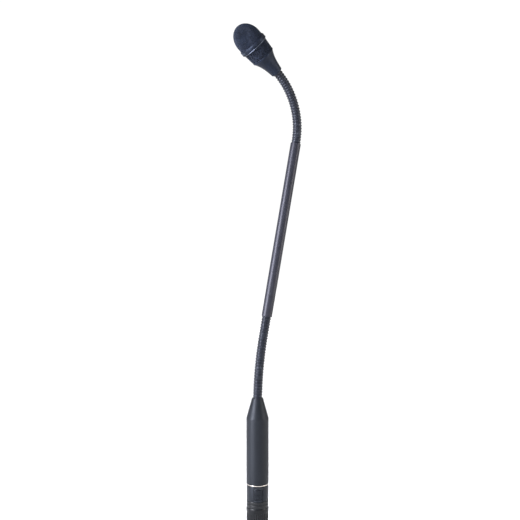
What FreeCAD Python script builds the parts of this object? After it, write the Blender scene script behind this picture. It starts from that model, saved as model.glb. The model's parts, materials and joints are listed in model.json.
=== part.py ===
import FreeCAD, Part
import Sketcher
import math
import os

# Gooseneck podium microphone: a slim barrel with its preamplifier, two flexible
# necks with a plain tube between them, a domed condenser head, and the cable
# connector plugged into the barrel. Millimetres, +Z up, origin at the mouth of
# the connector's boot, on the barrel's axis. The neck bends in the YZ plane and
# the head leans towards -Y. Expressions are sums of cells of the sheet.

doc = FreeCAD.newDocument("GooseneckMicrophone")
sheet = doc.addObject("Spreadsheet::Sheet", "Sizes")

SIZES = (
    # Cable connector, from the boot's mouth upwards
    ("boot_length", 32.05), ("boot_mouth_radius", 5.4), ("boot_taper", 13.0),
    ("boot_grip_radius", 9.82), ("boot_bulge_radius", 10.05), ("boot_bore", 7.05),
    ("boot_mouth_length", 12.0), ("cable_bore", 3.3), ("boot_round", 24.0),
    ("boot_groove", 4.6), ("boot_lip", 1.6), ("boot_lip_round", 14.0),
    ("ring_gap", 0.12), ("edge", 0.3), ("nut_height", 3.2), ("nut_radius", 9.82),
    ("nut_bore", 6.0), ("nut_skirt", 17.0), ("nut_thread_radius", 8.1), ("nut_thread", 4.2),
    ("coding_height", 2.7), ("coding_radius", 9.82), ("coding_bore", 8.2),
    ("chuck_radius", 5.9), ("chuck_length", 22.0), ("chuck_base", 16.0), ("chuck_slot", 0.8),
    ("chuck_root", 6.0), ("overrun", 1.0), ("slip", 0.02),
    ("housing_height", 13.7), ("housing_radius", 9.82), ("housing_recess", 1.7),
    ("nose_radius", 8.02), ("nose_bore", 7.0), ("nose_length", 13.4),
    ("insert_gap", 0.05), ("insert_base", 7.2), ("pin_circle", 4.2),
    ("socket_radius", 1.7), ("socket_bore", 1.25), ("socket_length", 22.5),
    ("socket_floor", 3.0), ("socket_inset", 1.0), ("socket_hole", 40.0),
    # Latch in the connector's side
    ("latch_turn", -25), ("latch_base", 2.0), ("latch_pad", 9.1), ("latch_width", 7.6),
    ("latch_inner", 7.3), ("latch_tongue", 11.0), ("latch_thickness", 0.65),
    ("latch_clearance", 0.35), ("latch_relief", 5.9), ("latch_opening", 5.4),
    ("latch_relief_depth", 4.0), ("latch_slope", 1.2), ("latch_sink", 0.03), ("tongue_sink", 0.06),
    ("pad_skin", 60.0), ("tongue_skin", 90.0),
    ("spring_width", 3.0), ("spring_thickness", 0.2), ("spring_gap", 0.05),
    ("spring_tip", 13.0), ("spring_shoulder", 12.6), ("spring_inside", 12.2),
    ("spring_toe", 8.4), ("spring_heel", 8.2),
    # Plug end of the barrel
    ("face_gap", 0.15), ("flange_height", 1.05), ("flange_radius", 9.8),
    ("shell_radius", 8.7), ("shell_bore", 8.1), ("shell_length", 19.9),
    ("plug_insert_base", 14.5), ("pin_radius", 1.2), ("pin_length", 21.0), ("pin_base", 2.4),
    ("pin_round", 0.4), ("lock_screw_radius", 1.0), ("lock_screw_length", 3.2),
    ("lock_screw_rise", 17.2), ("screw_turn", 150), ("screw_gap", 0.05),
    ("screw_sink", 0.15), ("lock_hole", 4.0), ("pin_tail", 4.0), ("flange_edge", 0.2),
    # Barrel and what it holds
    ("barrel_radius", 10.0), ("barrel_length", 58.3), ("cone_length", 18.0),
    ("cone_top_radius", 4.98), ("barrel_bore", 8.8), ("barrel_cavity", 50.0),
    ("barrel_edge", 0.35), ("cone_gap", 0.15), ("seat_gap", 0.05), ("clamp_hole", 7.0),
    ("clamp_relief", 0.2),
    ("clamp_radius", 5.95), ("clamp_bore_length", 13.3), ("clamp_flange", 3.0),
    ("neck_bore", 4.37), ("clamp_screw_radius", 1.5), ("clamp_screw_length", 5.2),
    ("clamp_screw_rise", 55.0), ("board_width", 15.0), ("board_thickness", 1.6),
    ("board_length", 23.8), ("board_base", 22.8), ("carrier_height", 1.6),
    ("carrier_gap", 0.2), ("carrier_slot", 20.0), ("carrier_slot_drop", 8.0),
    ("carrier_drop", 3.0), ("carrier_edge", 0.1),
    ("capacitor_radius", 2.5), ("capacitor_length", 5.2),
    ("chip_width", 4.0), ("chip_length", 5.0), ("chip_height", 1.5),
    # Neck: flexible sections, tube and cable
    ("flex_valley", 3.78), ("flex_bore", 2.1), ("rib_round", 1.9), ("link_gap", 0.9),
    ("lower_flex", 73.6), ("upper_flex", 70.13), ("clamp_depth", 6.9),
    ("lower_arc", 62.0), ("lower_turn", -11.13), ("lower_run", 18.5),
    ("tube_length", 162.0), ("tube_radius", 4.78), ("tube_bore", 4.37),
    ("upper_run", 3.67), ("upper_turn", 60.53), ("tube_grip", 11.0),
    ("tube_gap", 0.1), ("stop_gap", 0.03), ("stop_bore_gap", 0.3), ("tube_slide", 0.000001),
    ("stop_length", 4.0), ("cable_radius", 1.4), ("cable_tail", 26.0), ("cable_head", 14.0),
    ("cable_gap", 0.2), ("lead_gap", 0.1), ("coil_relief", 1.0),
    # Head, from the small end of its bell along its own axis
    ("bell_small_radius", 5.0), ("bell_step", 0.5), ("bell_rim", 0.6),
    ("bell_waist", 11.6), ("bell_waist_radius", 7.4), ("bell_top", 19.3),
    ("bell_top_radius", 10.9), ("bell_curve", 58.0), ("bell_ring", 1.2),
    ("bell_ring_radius", 11.2), ("bell_wall", 1.0), ("bush_seat", 5.0),
    ("bush_length", 7.0), ("bush_radius", 5.15), ("head_screw_radius", 0.9),
    ("head_screw_length", 1.9), ("head_screw_rise", 8.5), ("head_screw_start", 4.45),
    ("head_hole", 5.0), ("head_screw_turn", 90), ("bell_ledge", 0.6), ("bell_thinning", 0.9),
    ("vent_length", 10.2), ("vent_low_radius", 10.95), ("vent_high_radius", 12.05),
    ("vent_skin", 0.45), ("vent_wall", 1.3), ("vent_window", 5.6), ("vent_windows", 8),
    ("window_depth", 6.0), ("window_start", 7.0), ("window_sill", 1.8),
    ("collar_length", 5.2), ("collar_radius", 13.5), ("collar_edge", 0.9),
    ("collar_seat", 2.0), ("collar_seat_radius", 11.5), ("collar_lip", 0.2), ("fit", 0.03),
    ("dome_radius", 12.5), ("dome_wall", 0.6), ("dome_skirt", 6.6), ("dome_height", 15.3),
    ("foam_gap", 0.15), ("foam_wall", 1.4),
    ("capsule_radius", 6.0), ("capsule_length", 7.6), ("capsule_base", 34.0),
    ("holder_radius", 8.0), ("holder_foot_radius", 10.3), ("holder_length", 8.6),
    ("holder_foot", 1.8), ("lead_radius", 0.45), ("lead_spread", 1.3),
)
LINKS = 7           # flexible links between the fixed ends of each flexible section
COIL_RIBS = 3       # windings on a link
CONTACTS = 3        # pins and sockets of the connector
CAPACITOR_PLACES = ((-3.6, 6.0), (3.4, 6.0), (-3.6, 15.5))      # across and up the board
CHIP_PLACES = ((-2.0, 4.0), (-2.0, 13.0))

pieces = []         # every sub-part that is written to parts/
cells = []          # every alias of the sheet, in its rows' order


def add_cell(alias, value):
    """Add a named number to the sheet, in the next row."""
    cells.append(alias)
    row = len(cells)
    sheet.set(f"A{row}", alias.replace("_", " "))
    sheet.set(f"B{row}", str(round(value, 6)))
    sheet.setAlias(f"B{row}", alias)
    doc.recompute([sheet])


for name, size in SIZES:
    add_cell(name, size)


def measure(formula):
    """Value of a sum of terms, each a number, a cell or a product of them."""
    total = 0.0
    for term in formula.replace(" - ", " + -").split(" + "):
        product = -1.0 if term.startswith("-") else 1.0
        for factor in term.lstrip("-").split(" * "):
            product *= float(factor) if factor[0].isdigit() else float(sheet.get(factor))
        total += product
    return total


def bound(formula):
    """The same formula as an expression that reads the sheet."""
    words = formula.replace("-", "- ").split()
    return " ".join("Sizes." + word if word[0].isalpha() else word for word in words)


def bind(thing, **formulas):
    """Bind properties of a document object to formulas; z is its height."""
    for name, formula in formulas.items():
        path = "Placement.Base.z" if name == "z" else name
        thing.setExpression(path, bound(formula))
    return thing


def keep(thing, label):
    """Name a sub-part and list it for writing."""
    thing.Label = label
    pieces.append(thing)
    return thing


def profile(body, plane_role, outline):
    """Closed sketch on one of the body's planes.

    outline lists (across, up) formulas, or (across, up, radius, bulge) where the
    edge that leads to the point is an arc, which bulges to the "left" or "right".
    """
    sketch = body.newObject("Sketcher::SketchObject", body.Name + "_profile")
    plane = next(item for item in body.Origin.OriginFeatures if item.Role == plane_role)
    sketch.AttachmentSupport = [(plane, "")]
    sketch.MapMode = "FlatFace"
    points = [FreeCAD.Vector(measure(row[0]), measure(row[1]), 0) for row in outline]
    ends = []       # which end of each edge is its first point, and which its last
    for index, start in enumerate(points):
        row = outline[(index + 1) % len(outline)]
        end = points[(index + 1) % len(points)]
        if len(row) == 2:
            sketch.addGeometry(Part.LineSegment(start, end), False)
            ends.append((1, 2))
            continue
        chord, radius = end - start, measure(row[2])
        sagitta = radius - math.sqrt(radius ** 2 - (chord.Length / 2) ** 2)
        left = row[3] == "left"
        side = FreeCAD.Vector(-chord.y, chord.x, 0).normalize() * (sagitta if left else -sagitta)
        middle = (start + end) * 0.5 + side
        curve = Part.Arc(end, middle, start) if left else Part.Arc(start, middle, end)
        sketch.addGeometry(curve, False)
        ends.append((2, 1) if left else (1, 2))
        dimension(sketch, ("Radius", index), row[2])
    for index, row in enumerate(outline):
        following = (index + 1) % len(outline)
        sketch.addConstraint(Sketcher.Constraint(
            "Coincident", index, ends[index][1], following, ends[following][0]))
        for kind, formula, axis in (("DistanceX", row[0], -2), ("DistanceY", row[1], -1)):
            if measure(formula) == 0:
                sketch.addConstraint(Sketcher.Constraint(
                    "PointOnObject", index, ends[index][0], axis))
            else:
                dimension(sketch, (kind, -1, 1, index, ends[index][0]), formula)
    return sketch


def dimension(sketch, what, formula):
    """Add a dimension to a sketch and bind it to the sheet."""
    number = sketch.addConstraint(Sketcher.Constraint(*what, measure(formula)))
    sketch.setExpression(f"Constraints[{number}]", bound(formula))


def turned(label, outline, **place):
    """A body turned about its own Z axis from a (radius, height) outline."""
    body = doc.addObject("PartDesign::Body", label)
    revolution = body.newObject("PartDesign::Revolution", label + "_turn")
    revolution.Profile = profile(body, "XZ_Plane", outline)
    revolution.ReferenceAxis = (revolution.Profile[0], ["V_Axis"])
    revolution.Angle = 360
    return bind(body, **place)


def slab(label, outline, width, **place):
    """A body of an (x, z) outline, padded to both sides of the XZ plane."""
    body = doc.addObject("PartDesign::Body", label)
    pad = body.newObject("PartDesign::Pad", label + "_pad")
    pad.Profile = profile(body, "XZ_Plane", outline)
    pad.SideType = "Symmetric"
    bind(pad, Length=width)
    return bind(body, **place)


def sleeve(label, bore, radius, length, **place):
    """A plain tube; a solid rod when the bore is None."""
    if bore is None:
        rod = doc.addObject("Part::Cylinder", label)
        return bind(rod, Radius=radius, Height=length, **place)
    return turned(label, ((bore, "0"), (radius, "0"), (radius, length), (bore, length)), **place)


def block(label, length, width, height, **place):
    """A box centred on the Z axis, its base at the given height."""
    box = doc.addObject("Part::Box", label)
    bind(box, Length=length, Width=width, Height=height, **place)
    box.setExpression("Placement.Base.x", f"-({bound(length)}) / 2")
    box.setExpression("Placement.Base.y", f"-({bound(width)}) / 2")
    return box


def cut(label, base, *tools):
    """A base with tools taken away; the blank keeps its place in the tree."""
    blank = label + "_blank"
    base.Label = blank
    result = doc.addObject("Part::Cut", label)
    result.Base = base
    result.Tool = tools[0] if len(tools) == 1 else group(label + "_tools", tools)
    return result


def group(label, members):
    """Several solids joined, or kept side by side where they don't touch."""
    fusion = doc.addObject("Part::MultiFuse", label)
    fusion.Shapes = list(members)
    return fusion


def turn_to(degrees, out=0.0, rise=0.0):
    """Placement turned about Z to a direction, moved out along it and up."""
    spin = FreeCAD.Rotation(FreeCAD.Vector(0, 0, 1), degrees)
    return FreeCAD.Placement(spin.multVec(FreeCAD.Vector(out, 0, rise)), spin)


def radial_rod(label, radius, length, turn, start, rise):
    """A cylinder that points away from the Z axis, as a radial screw does."""
    rod = bind(doc.addObject("Part::Cylinder", label), Radius=radius, Height=length)
    lie = FreeCAD.Placement(FreeCAD.Vector(), FreeCAD.Rotation(FreeCAD.Vector(0, 1, 0), 90))
    rod.Placement = turn_to(turn, start, rise) * lie
    return rod


# Levels along the barrel's axis
NUT_BASE = "boot_length + ring_gap"
CODING_BASE = NUT_BASE + " + nut_height + ring_gap"
HOUSING_BASE = CODING_BASE + " + coding_height + ring_gap"
FACE = HOUSING_BASE + " + housing_height + face_gap"
BARREL_BASE = FACE + " + flange_height"
CONE_TOP = BARREL_BASE + " + barrel_length + cone_length"


def lean(length):
    """Point and lean of the neck at a length from the foot of its first bend.

    The neck is made of arcs and straight runs in the YZ plane. Lean is the angle
    from +Z towards -Y, in radians.
    """
    forward, up, angle = 0.0, measure(CONE_TOP) - measure("clamp_depth"), 0.0
    for run, turn in NECK_RUNS:
        step = min(length, run)
        bend = math.radians(turn) * step / run
        if bend:
            radius = step / bend
            forward += radius * (math.cos(angle) - math.cos(angle + bend))
            up += radius * (math.sin(angle + bend) - math.sin(angle))
        else:
            forward += step * math.sin(angle)
            up += step * math.cos(angle)
        angle += bend
        length -= step
    return FreeCAD.Vector(0, -forward, up), angle


NECK_RUNS = (
    (measure("lower_arc"), measure("lower_turn")),
    (measure("lower_run"), 0.0),
    (measure("tube_length"), 0.0),
    (measure("upper_run"), 0.0),
    (measure("upper_flex - upper_run"), measure("upper_turn")),
    (measure("cable_head"), 0.0),
)
LOWER_START = measure("clamp_depth")
TUBE_START = measure("lower_arc + lower_run")
TUBE_END = TUBE_START + measure("tube_length")
HEAD_START = TUBE_END + measure("upper_flex")


def leaning(point, angle, along=0.0):
    """Placement on the neck: Z along a leaning axis, from a point on it."""
    tilt = FreeCAD.Rotation(FreeCAD.Vector(1, 0, 0), math.degrees(angle))
    return FreeCAD.Placement(point + tilt.multVec(FreeCAD.Vector(0, 0, along)), tilt)


def on_neck(thing, length, along=0.0):
    """Place a sub-part at a length of the neck, moved along its axis there."""
    point, angle = lean(length)
    thing.Placement = leaning(point, angle, along) * thing.Placement
    return thing


def connector():
    """The cable's connector: housing, contacts, rings, boot and clamp."""
    boot = turned("boot", (
        ("cable_bore", "0"), ("boot_mouth_radius - edge", "0"), ("boot_mouth_radius", "edge"),
        ("boot_grip_radius", "boot_taper", "boot_round", "right"),
        ("boot_grip_radius", "boot_length - boot_groove"),
        ("boot_bulge_radius", "boot_length - boot_lip", "boot_lip_round", "right"),
        ("boot_bulge_radius - edge", "boot_length"), ("boot_bore", "boot_length"),
        ("boot_bore", "boot_mouth_length"), ("cable_bore", "boot_mouth_length")))
    keep(boot, "boot")

    keep(turned("bushing_nut", (
        ("nut_bore", "0"), ("boot_bore - insert_gap", "0"),
        ("boot_bore - insert_gap", "nut_skirt + ring_gap"),
        ("nut_radius - edge", "nut_skirt + ring_gap"),
        ("nut_radius", "nut_skirt + ring_gap + edge"),
        ("nut_radius", "nut_skirt + nut_height"),
        ("nut_radius - edge", "nut_skirt + ring_gap + nut_height"),
        ("nut_thread_radius", "nut_skirt + ring_gap + nut_height"),
        ("nut_thread_radius", "nut_skirt + nut_height + nut_thread"),
        ("nut_bore", "nut_skirt + nut_height + nut_thread")),
        z="boot_length - nut_skirt"), "bushing_nut")

    keep(turned("coding_ring", (
        ("coding_bore", "0"), ("coding_radius - edge", "0"), ("coding_radius", "edge"),
        ("coding_radius", "coding_height - edge"), ("coding_radius - edge", "coding_height"),
        ("coding_bore", "coding_height")), z=CODING_BASE), "coding_ring")

    chuck = sleeve("cable_chuck", "cable_bore", "chuck_radius", "chuck_length", z="chuck_base")
    slots = []
    for turn in (0, 90):
        slot = block(f"chuck_slot_{turn}", "2 * chuck_radius + overrun", "chuck_slot",
                     "chuck_length - chuck_root", z="chuck_base + chuck_root + overrun")
        slot.Placement = turn_to(turn) * slot.Placement if turn else slot.Placement
        slots.append(slot)
    keep(cut("cable_chuck", chuck, *slots), "cable_chuck")

    latch_turn = measure("latch_turn")
    housing = turned("connector_housing", (
        ("coding_bore", "0"), ("housing_radius - edge", "0"), ("housing_radius", "edge"),
        ("housing_radius", "housing_height - edge"), ("housing_radius - edge", "housing_height"),
        ("nose_radius", "housing_height"), ("nose_radius", "housing_height + nose_length - edge"),
        ("nose_radius - edge", "housing_height + nose_length"),
        ("nose_bore", "housing_height + nose_length"), ("nose_bore", "housing_recess"),
        ("coding_bore", "housing_recess")), z=HOUSING_BASE)
    window = bind(doc.addObject("Part::Box", "latch_window"),
                  Length="housing_radius - latch_opening + overrun",
                  Width="latch_width + 2 * latch_clearance",
                  Height="latch_pad + 2 * latch_clearance")
    slot = bind(doc.addObject("Part::Box", "latch_slot"),
                Length="nose_radius - latch_opening + edge",
                Width="latch_width + 2 * latch_clearance",
                Height="latch_tongue + latch_clearance")
    for opening, rise in ((window, "latch_base - latch_clearance"),
                          (slot, "latch_base + latch_pad")):
        middle = FreeCAD.Placement(
            FreeCAD.Vector(0, -measure("latch_width") / 2 - measure("latch_clearance"), 0),
            FreeCAD.Rotation())
        level = measure(HOUSING_BASE) + measure(rise)
        opening.Placement = turn_to(latch_turn, measure("latch_opening"), level) * middle
    keep(cut("connector_housing", housing, window, slot), "connector_housing")

    core_length = "housing_height + nose_length - insert_base - edge"
    core = sleeve("socket_insert", None, "nose_bore - insert_gap", core_length)
    core.setExpression("Placement.Base.z", bound(HOUSING_BASE + " + insert_base"))
    holes = []
    for number in range(CONTACTS):
        hole = bind(doc.addObject("Part::Cylinder", f"socket_hole_{number + 1}"),
                    Radius="socket_radius + insert_gap", Height="socket_hole")
        hole.Placement = turn_to(latch_turn + contact_turn(number), measure("pin_circle"),
                                 measure(HOUSING_BASE))
        holes.append(hole)
    relief = bind(doc.addObject("Part::Box", "latch_relief"), Length="latch_relief_depth",
                  Width="latch_width + 2 * latch_clearance",
                  Height="latch_pad + latch_tongue")
    relief.Placement = turn_to(latch_turn, measure("latch_relief"),
                               measure(HOUSING_BASE) + measure("latch_base")) * \
        FreeCAD.Placement(FreeCAD.Vector(
            0, -measure("latch_width") / 2 - measure("latch_clearance"), 0), FreeCAD.Rotation())
    keep(cut("socket_insert", core, relief, *holes), "socket_insert")

    for number in range(CONTACTS):
        label = f"socket_contact_{number + 1}"
        contact = turned(label, (
            ("0", "0"), ("socket_radius", "0"), ("socket_radius", "socket_length"),
            ("socket_bore", "socket_length"), ("socket_bore", "socket_floor"),
            ("0", "socket_floor")))
        base = HOUSING_BASE + " + housing_height + nose_length - socket_inset - socket_length"
        contact.Placement = turn_to(latch_turn + contact_turn(number), measure("pin_circle"),
                                    measure(base))
        keep(contact, label)


def contact_turn(number):
    """Direction of a contact about the axis, from the latch."""
    return 60 + 360 * number / CONTACTS


def latch():
    """The sprung latch in the connector's side, and its leaf spring."""
    turn = measure("latch_turn")
    level = measure(HOUSING_BASE)
    bar = slab("latch_bar", (
        ("latch_inner", "latch_base"), ("housing_radius + overrun", "latch_base"),
        ("housing_radius + overrun", "latch_base + latch_pad - latch_slope"),
        ("latch_inner + latch_thickness", "latch_base + latch_pad"),
        ("latch_inner + latch_thickness", "latch_base + latch_pad + latch_tongue - overrun"),
        ("latch_inner", "latch_base + latch_pad + latch_tongue - overrun")), "latch_width")
    bar.Placement = turn_to(turn, 0, level)
    skin = bind(doc.addObject("Part::Cylinder", "latch_skin"),
                Radius="housing_radius - latch_sink", Height="pad_skin")
    nose = bind(doc.addObject("Part::Cylinder", "latch_nose_skin"),
                Radius="nose_radius - tongue_sink", Height="tongue_skin")
    low = doc.addObject("Part::Common", "latch_pad")
    low.Base, low.Tool = bar, skin
    bind(skin, z=HOUSING_BASE + " + latch_base + latch_pad - pad_skin")
    high = doc.addObject("Part::Common", "latch_tongue")
    high.Base, high.Tool = bar, nose
    bind(nose, z="overrun")
    keep(group("latch_tab", (low, high)), "latch_tab")

    leaf = slab("latch_spring", (
        ("latch_relief", "spring_tip"), ("latch_relief + spring_thickness", "spring_shoulder"),
        ("latch_inner - spring_gap", "spring_toe"),
        ("latch_inner - spring_gap - spring_thickness", "spring_heel"),
        ("latch_relief", "spring_inside")), "spring_width")
    leaf.Placement = turn_to(turn, 0, level)
    keep(leaf, "latch_spring")


def barrel():
    """The barrel with its plug, contacts, lock screw and neck clamp."""
    turn = measure("screw_turn")
    face, base = measure(FACE), measure(BARREL_BASE)

    def screw_hole(label, screw, length, start, rise):
        """Clearance round a radial screw."""
        return radial_rod(label, screw + " + screw_gap", length, turn, start, rise)

    lock = (measure("barrel_radius - lock_screw_length - screw_sink"),
            face + measure("lock_screw_rise"))
    clamp = (measure("barrel_radius - clamp_screw_length - screw_sink"),
             base + measure("clamp_screw_rise"))
    shell = turned("barrel_shell", (
        ("barrel_bore", "0"), ("barrel_radius - barrel_edge", "0"), ("barrel_radius", "barrel_edge"),
        ("barrel_radius", "barrel_length"), ("cone_top_radius", "barrel_length + cone_length"),
        ("neck_bore + cone_gap", "barrel_length + cone_length"),
        ("neck_bore + cone_gap", "barrel_cavity + clamp_bore_length"),
        ("clamp_radius + slip", "barrel_cavity + clamp_bore_length"),
        ("clamp_radius + slip", "barrel_cavity"), ("barrel_bore", "barrel_cavity")),
        z=BARREL_BASE)
    keep(cut("barrel_shell", shell,
             screw_hole("lock_hole_1", "lock_screw_radius", "lock_hole", lock[0], lock[1]),
             screw_hole("clamp_hole_1", "clamp_screw_radius", "clamp_hole", clamp[0], clamp[1])),
         "barrel_shell")

    bush = turned("neck_clamp", (
        ("neck_bore", "0"), ("barrel_bore - seat_gap", "0"),
        ("barrel_bore - seat_gap", "clamp_flange"),
        ("clamp_radius", "clamp_flange"),
        ("clamp_radius", "clamp_flange + clamp_bore_length - clamp_relief"),
        ("neck_bore", "clamp_flange + clamp_bore_length - clamp_relief")),
        z=BARREL_BASE + " + barrel_cavity - clamp_flange")
    keep(cut("neck_clamp", bush,
             screw_hole("clamp_hole_2", "clamp_screw_radius", "clamp_hole",
                        clamp[0] - measure("overrun"), clamp[1])),
         "neck_clamp")
    keep(radial_rod("neck_set_screw", "clamp_screw_radius", "clamp_screw_length", turn, *clamp),
         "neck_set_screw")

    plug = turned("plug_shell", (
        ("shell_bore", "0"), ("flange_radius - flange_edge", "0"), ("flange_radius", "flange_edge"),
        ("flange_radius", "flange_height - seat_gap"),
        ("shell_radius", "flange_height - seat_gap"),
        ("shell_radius", "shell_length"), ("shell_bore", "shell_length")), z=FACE)
    keep(cut("plug_shell", plug,
             screw_hole("lock_hole_2", "lock_screw_radius", "lock_hole", lock[0], lock[1])), "plug_shell")

    insert = sleeve("plug_insert", None, "shell_bore - insert_gap",
                    "shell_length - plug_insert_base", z=FACE + " + plug_insert_base")
    holes = [screw_hole("lock_hole_3", "lock_screw_radius", "lock_hole", lock[0], lock[1])]
    for number in range(CONTACTS):
        place = turn_to(measure("latch_turn") + contact_turn(number), measure("pin_circle"),
                        face + measure("pin_base"))
        hole = bind(doc.addObject("Part::Cylinder", f"pin_hole_{number + 1}"),
                    Radius="pin_radius + insert_gap", Height="pin_length + pin_tail")
        hole.Placement = place
        holes.append(hole)
        label = f"contact_pin_{number + 1}"
        pin = turned(label, (
            ("0", "0"), ("pin_radius - pin_round", "0"), ("pin_radius", "pin_round"),
            ("pin_radius", "pin_length"), ("0", "pin_length")))
        pin.Placement = place
        keep(pin, label)
    keep(cut("plug_insert", insert, *holes), "plug_insert")
    keep(radial_rod("lock_screw", "lock_screw_radius", "lock_screw_length", turn, *lock),
         "lock_screw")


def preamplifier():
    """The circuit board in the barrel, on a round carrier under the clamp."""
    base = BARREL_BASE + " + board_base"
    board = block("board_blank", "board_width", "board_thickness", "board_length", z=base)
    keep(board, "preamp_board")
    slot = block("carrier_opening", "board_width + carrier_gap", "board_thickness + carrier_gap",
                 "carrier_slot", z=base + " + board_length - carrier_slot_drop")
    disc = sleeve("carrier_blank", None, "barrel_bore - carrier_edge", "carrier_height",
                  z=base + " + board_length - carrier_drop")
    keep(cut("board_carrier", disc, slot), "board_carrier")

    face = measure("board_thickness") / 2 + measure("slip")
    lie = FreeCAD.Placement(FreeCAD.Vector(), FreeCAD.Rotation(FreeCAD.Vector(1, 0, 0), 90))
    cans = []
    for number, (across, rise) in enumerate(CAPACITOR_PLACES):
        can = bind(doc.addObject("Part::Cylinder", f"capacitor_{number + 1}"),
                   Radius="capacitor_radius", Height="capacitor_length")
        level = measure(base) + rise
        can.Placement = FreeCAD.Placement(
            FreeCAD.Vector(across, -face, level), lie.Rotation)
        cans.append(can)
    keep(group("capacitors", cans), "capacitors")
    chips = []
    for number, (across, rise) in enumerate(CHIP_PLACES):
        chip = bind(doc.addObject("Part::Box", f"chip_{number + 1}"), Length="chip_width",
                    Width="chip_height", Height="chip_length")
        chip.Placement = FreeCAD.Placement(
            FreeCAD.Vector(across, face, measure(base) + rise), FreeCAD.Rotation())
        chips.append(chip)
    keep(group("amplifier_chips", chips), "amplifier_chips")


def coil(label, length, ribs):
    """A stretch of the wound neck: rounded windings round an open bore."""
    cell = label + "_rib"
    add_cell(cell, length / ribs)
    outline = [("flex_bore", "0"), ("flex_valley", "0")]
    for rib in range(1, ribs + 1):
        outline.append(("flex_valley", f"{rib} * {cell}", "rib_round", "right"))
    outline.append(("flex_bore", f"{ribs} * {cell}"))
    return turned(label, outline)


def flexible(name, start, flex_length, below, above):
    """A flexible section: fixed ends below and above, and links between joints.

    Each stretch runs straight between two joint points of the neck's curve, and
    stops short of them so that the links can bend.
    """
    step = flex_length / (LINKS + 1)
    gap = measure("link_gap")
    joints = [lean(start + (number + 0.5) * step) for number in range(LINKS + 1)]
    for number in range(LINKS):
        foot, head = joints[number][0], joints[number + 1][0]
        span = head - foot
        label = f"{name}_link_{number + 1}"
        link = coil(label, span.Length - 2 * gap, COIL_RIBS)
        link.Placement = leaning(foot, math.atan2(-span.y, span.z), gap)
        keep(link, label)
    rib = (step - 2 * gap) / COIL_RIBS
    for label, depth, joint, side in ((f"{name}_foot_coil", below, joints[0], -1),
                                      (f"{name}_end_coil", above, joints[-1], 1)):
        point, angle = lean(start if side < 0 else start + flex_length)
        angle = 0.0 if side < 0 and start == LOWER_START else angle
        length = depth + (joint[0] - point).Length - gap
        piece = coil(label, length, round(length / rib))
        piece.Placement = leaning(point, angle, -depth if side < 0 else depth - length)
        keep(piece, label)


def tube():
    """The plain tube between the flexible sections, and its two inner stops."""
    on_neck(keep(sleeve("centre_tube", "tube_bore", "tube_radius", "tube_length"),
                 "centre_tube"), TUBE_START + measure("tube_slide"))
    grip = measure("tube_grip + tube_gap")
    for label, place in (("lower_stop", TUBE_START + grip),
                         ("upper_stop", TUBE_END - grip - measure("stop_length"))):
        on_neck(keep(sleeve(label, "cable_radius + stop_bore_gap", "tube_bore - stop_gap",
                                     "stop_length"),
                     label), place)


def cable():
    """The signal cable from the board's top to the back of the capsule.

    It runs up the middle of the neck on one path of straight runs and arcs.
    """
    low = measure(BARREL_BASE + " + board_base + board_length + cable_gap")
    first = lean(0)[0]
    edges = [Part.LineSegment(FreeCAD.Vector(0, 0, low), first).toShape()]
    along = 0.0
    for run, turn in NECK_RUNS:
        start, middle, end = (lean(along + part * run)[0] for part in (0, 0.5, 1))
        curve = Part.Arc(start, middle, end) if turn else Part.LineSegment(start, end)
        edges.append(curve.toShape())
        along += run
    path = Part.Wire(edges)
    radius = measure("cable_radius")
    section = Part.Wire(Part.Circle(FreeCAD.Vector(0, 0, low), FreeCAD.Vector(0, 0, 1),
                                    radius).toShape())
    wire = doc.addObject("Part::Feature", "signal_cable")
    wire.Shape = path.makePipeShell([section], True, True)
    ratio = wire.Shape.Volume / (math.pi * radius ** 2 * path.Length)
    print(f"signal cable {path.Length:.1f} mm, volume ratio {ratio:.4f}")
    keep(wire, "signal_cable")


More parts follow.
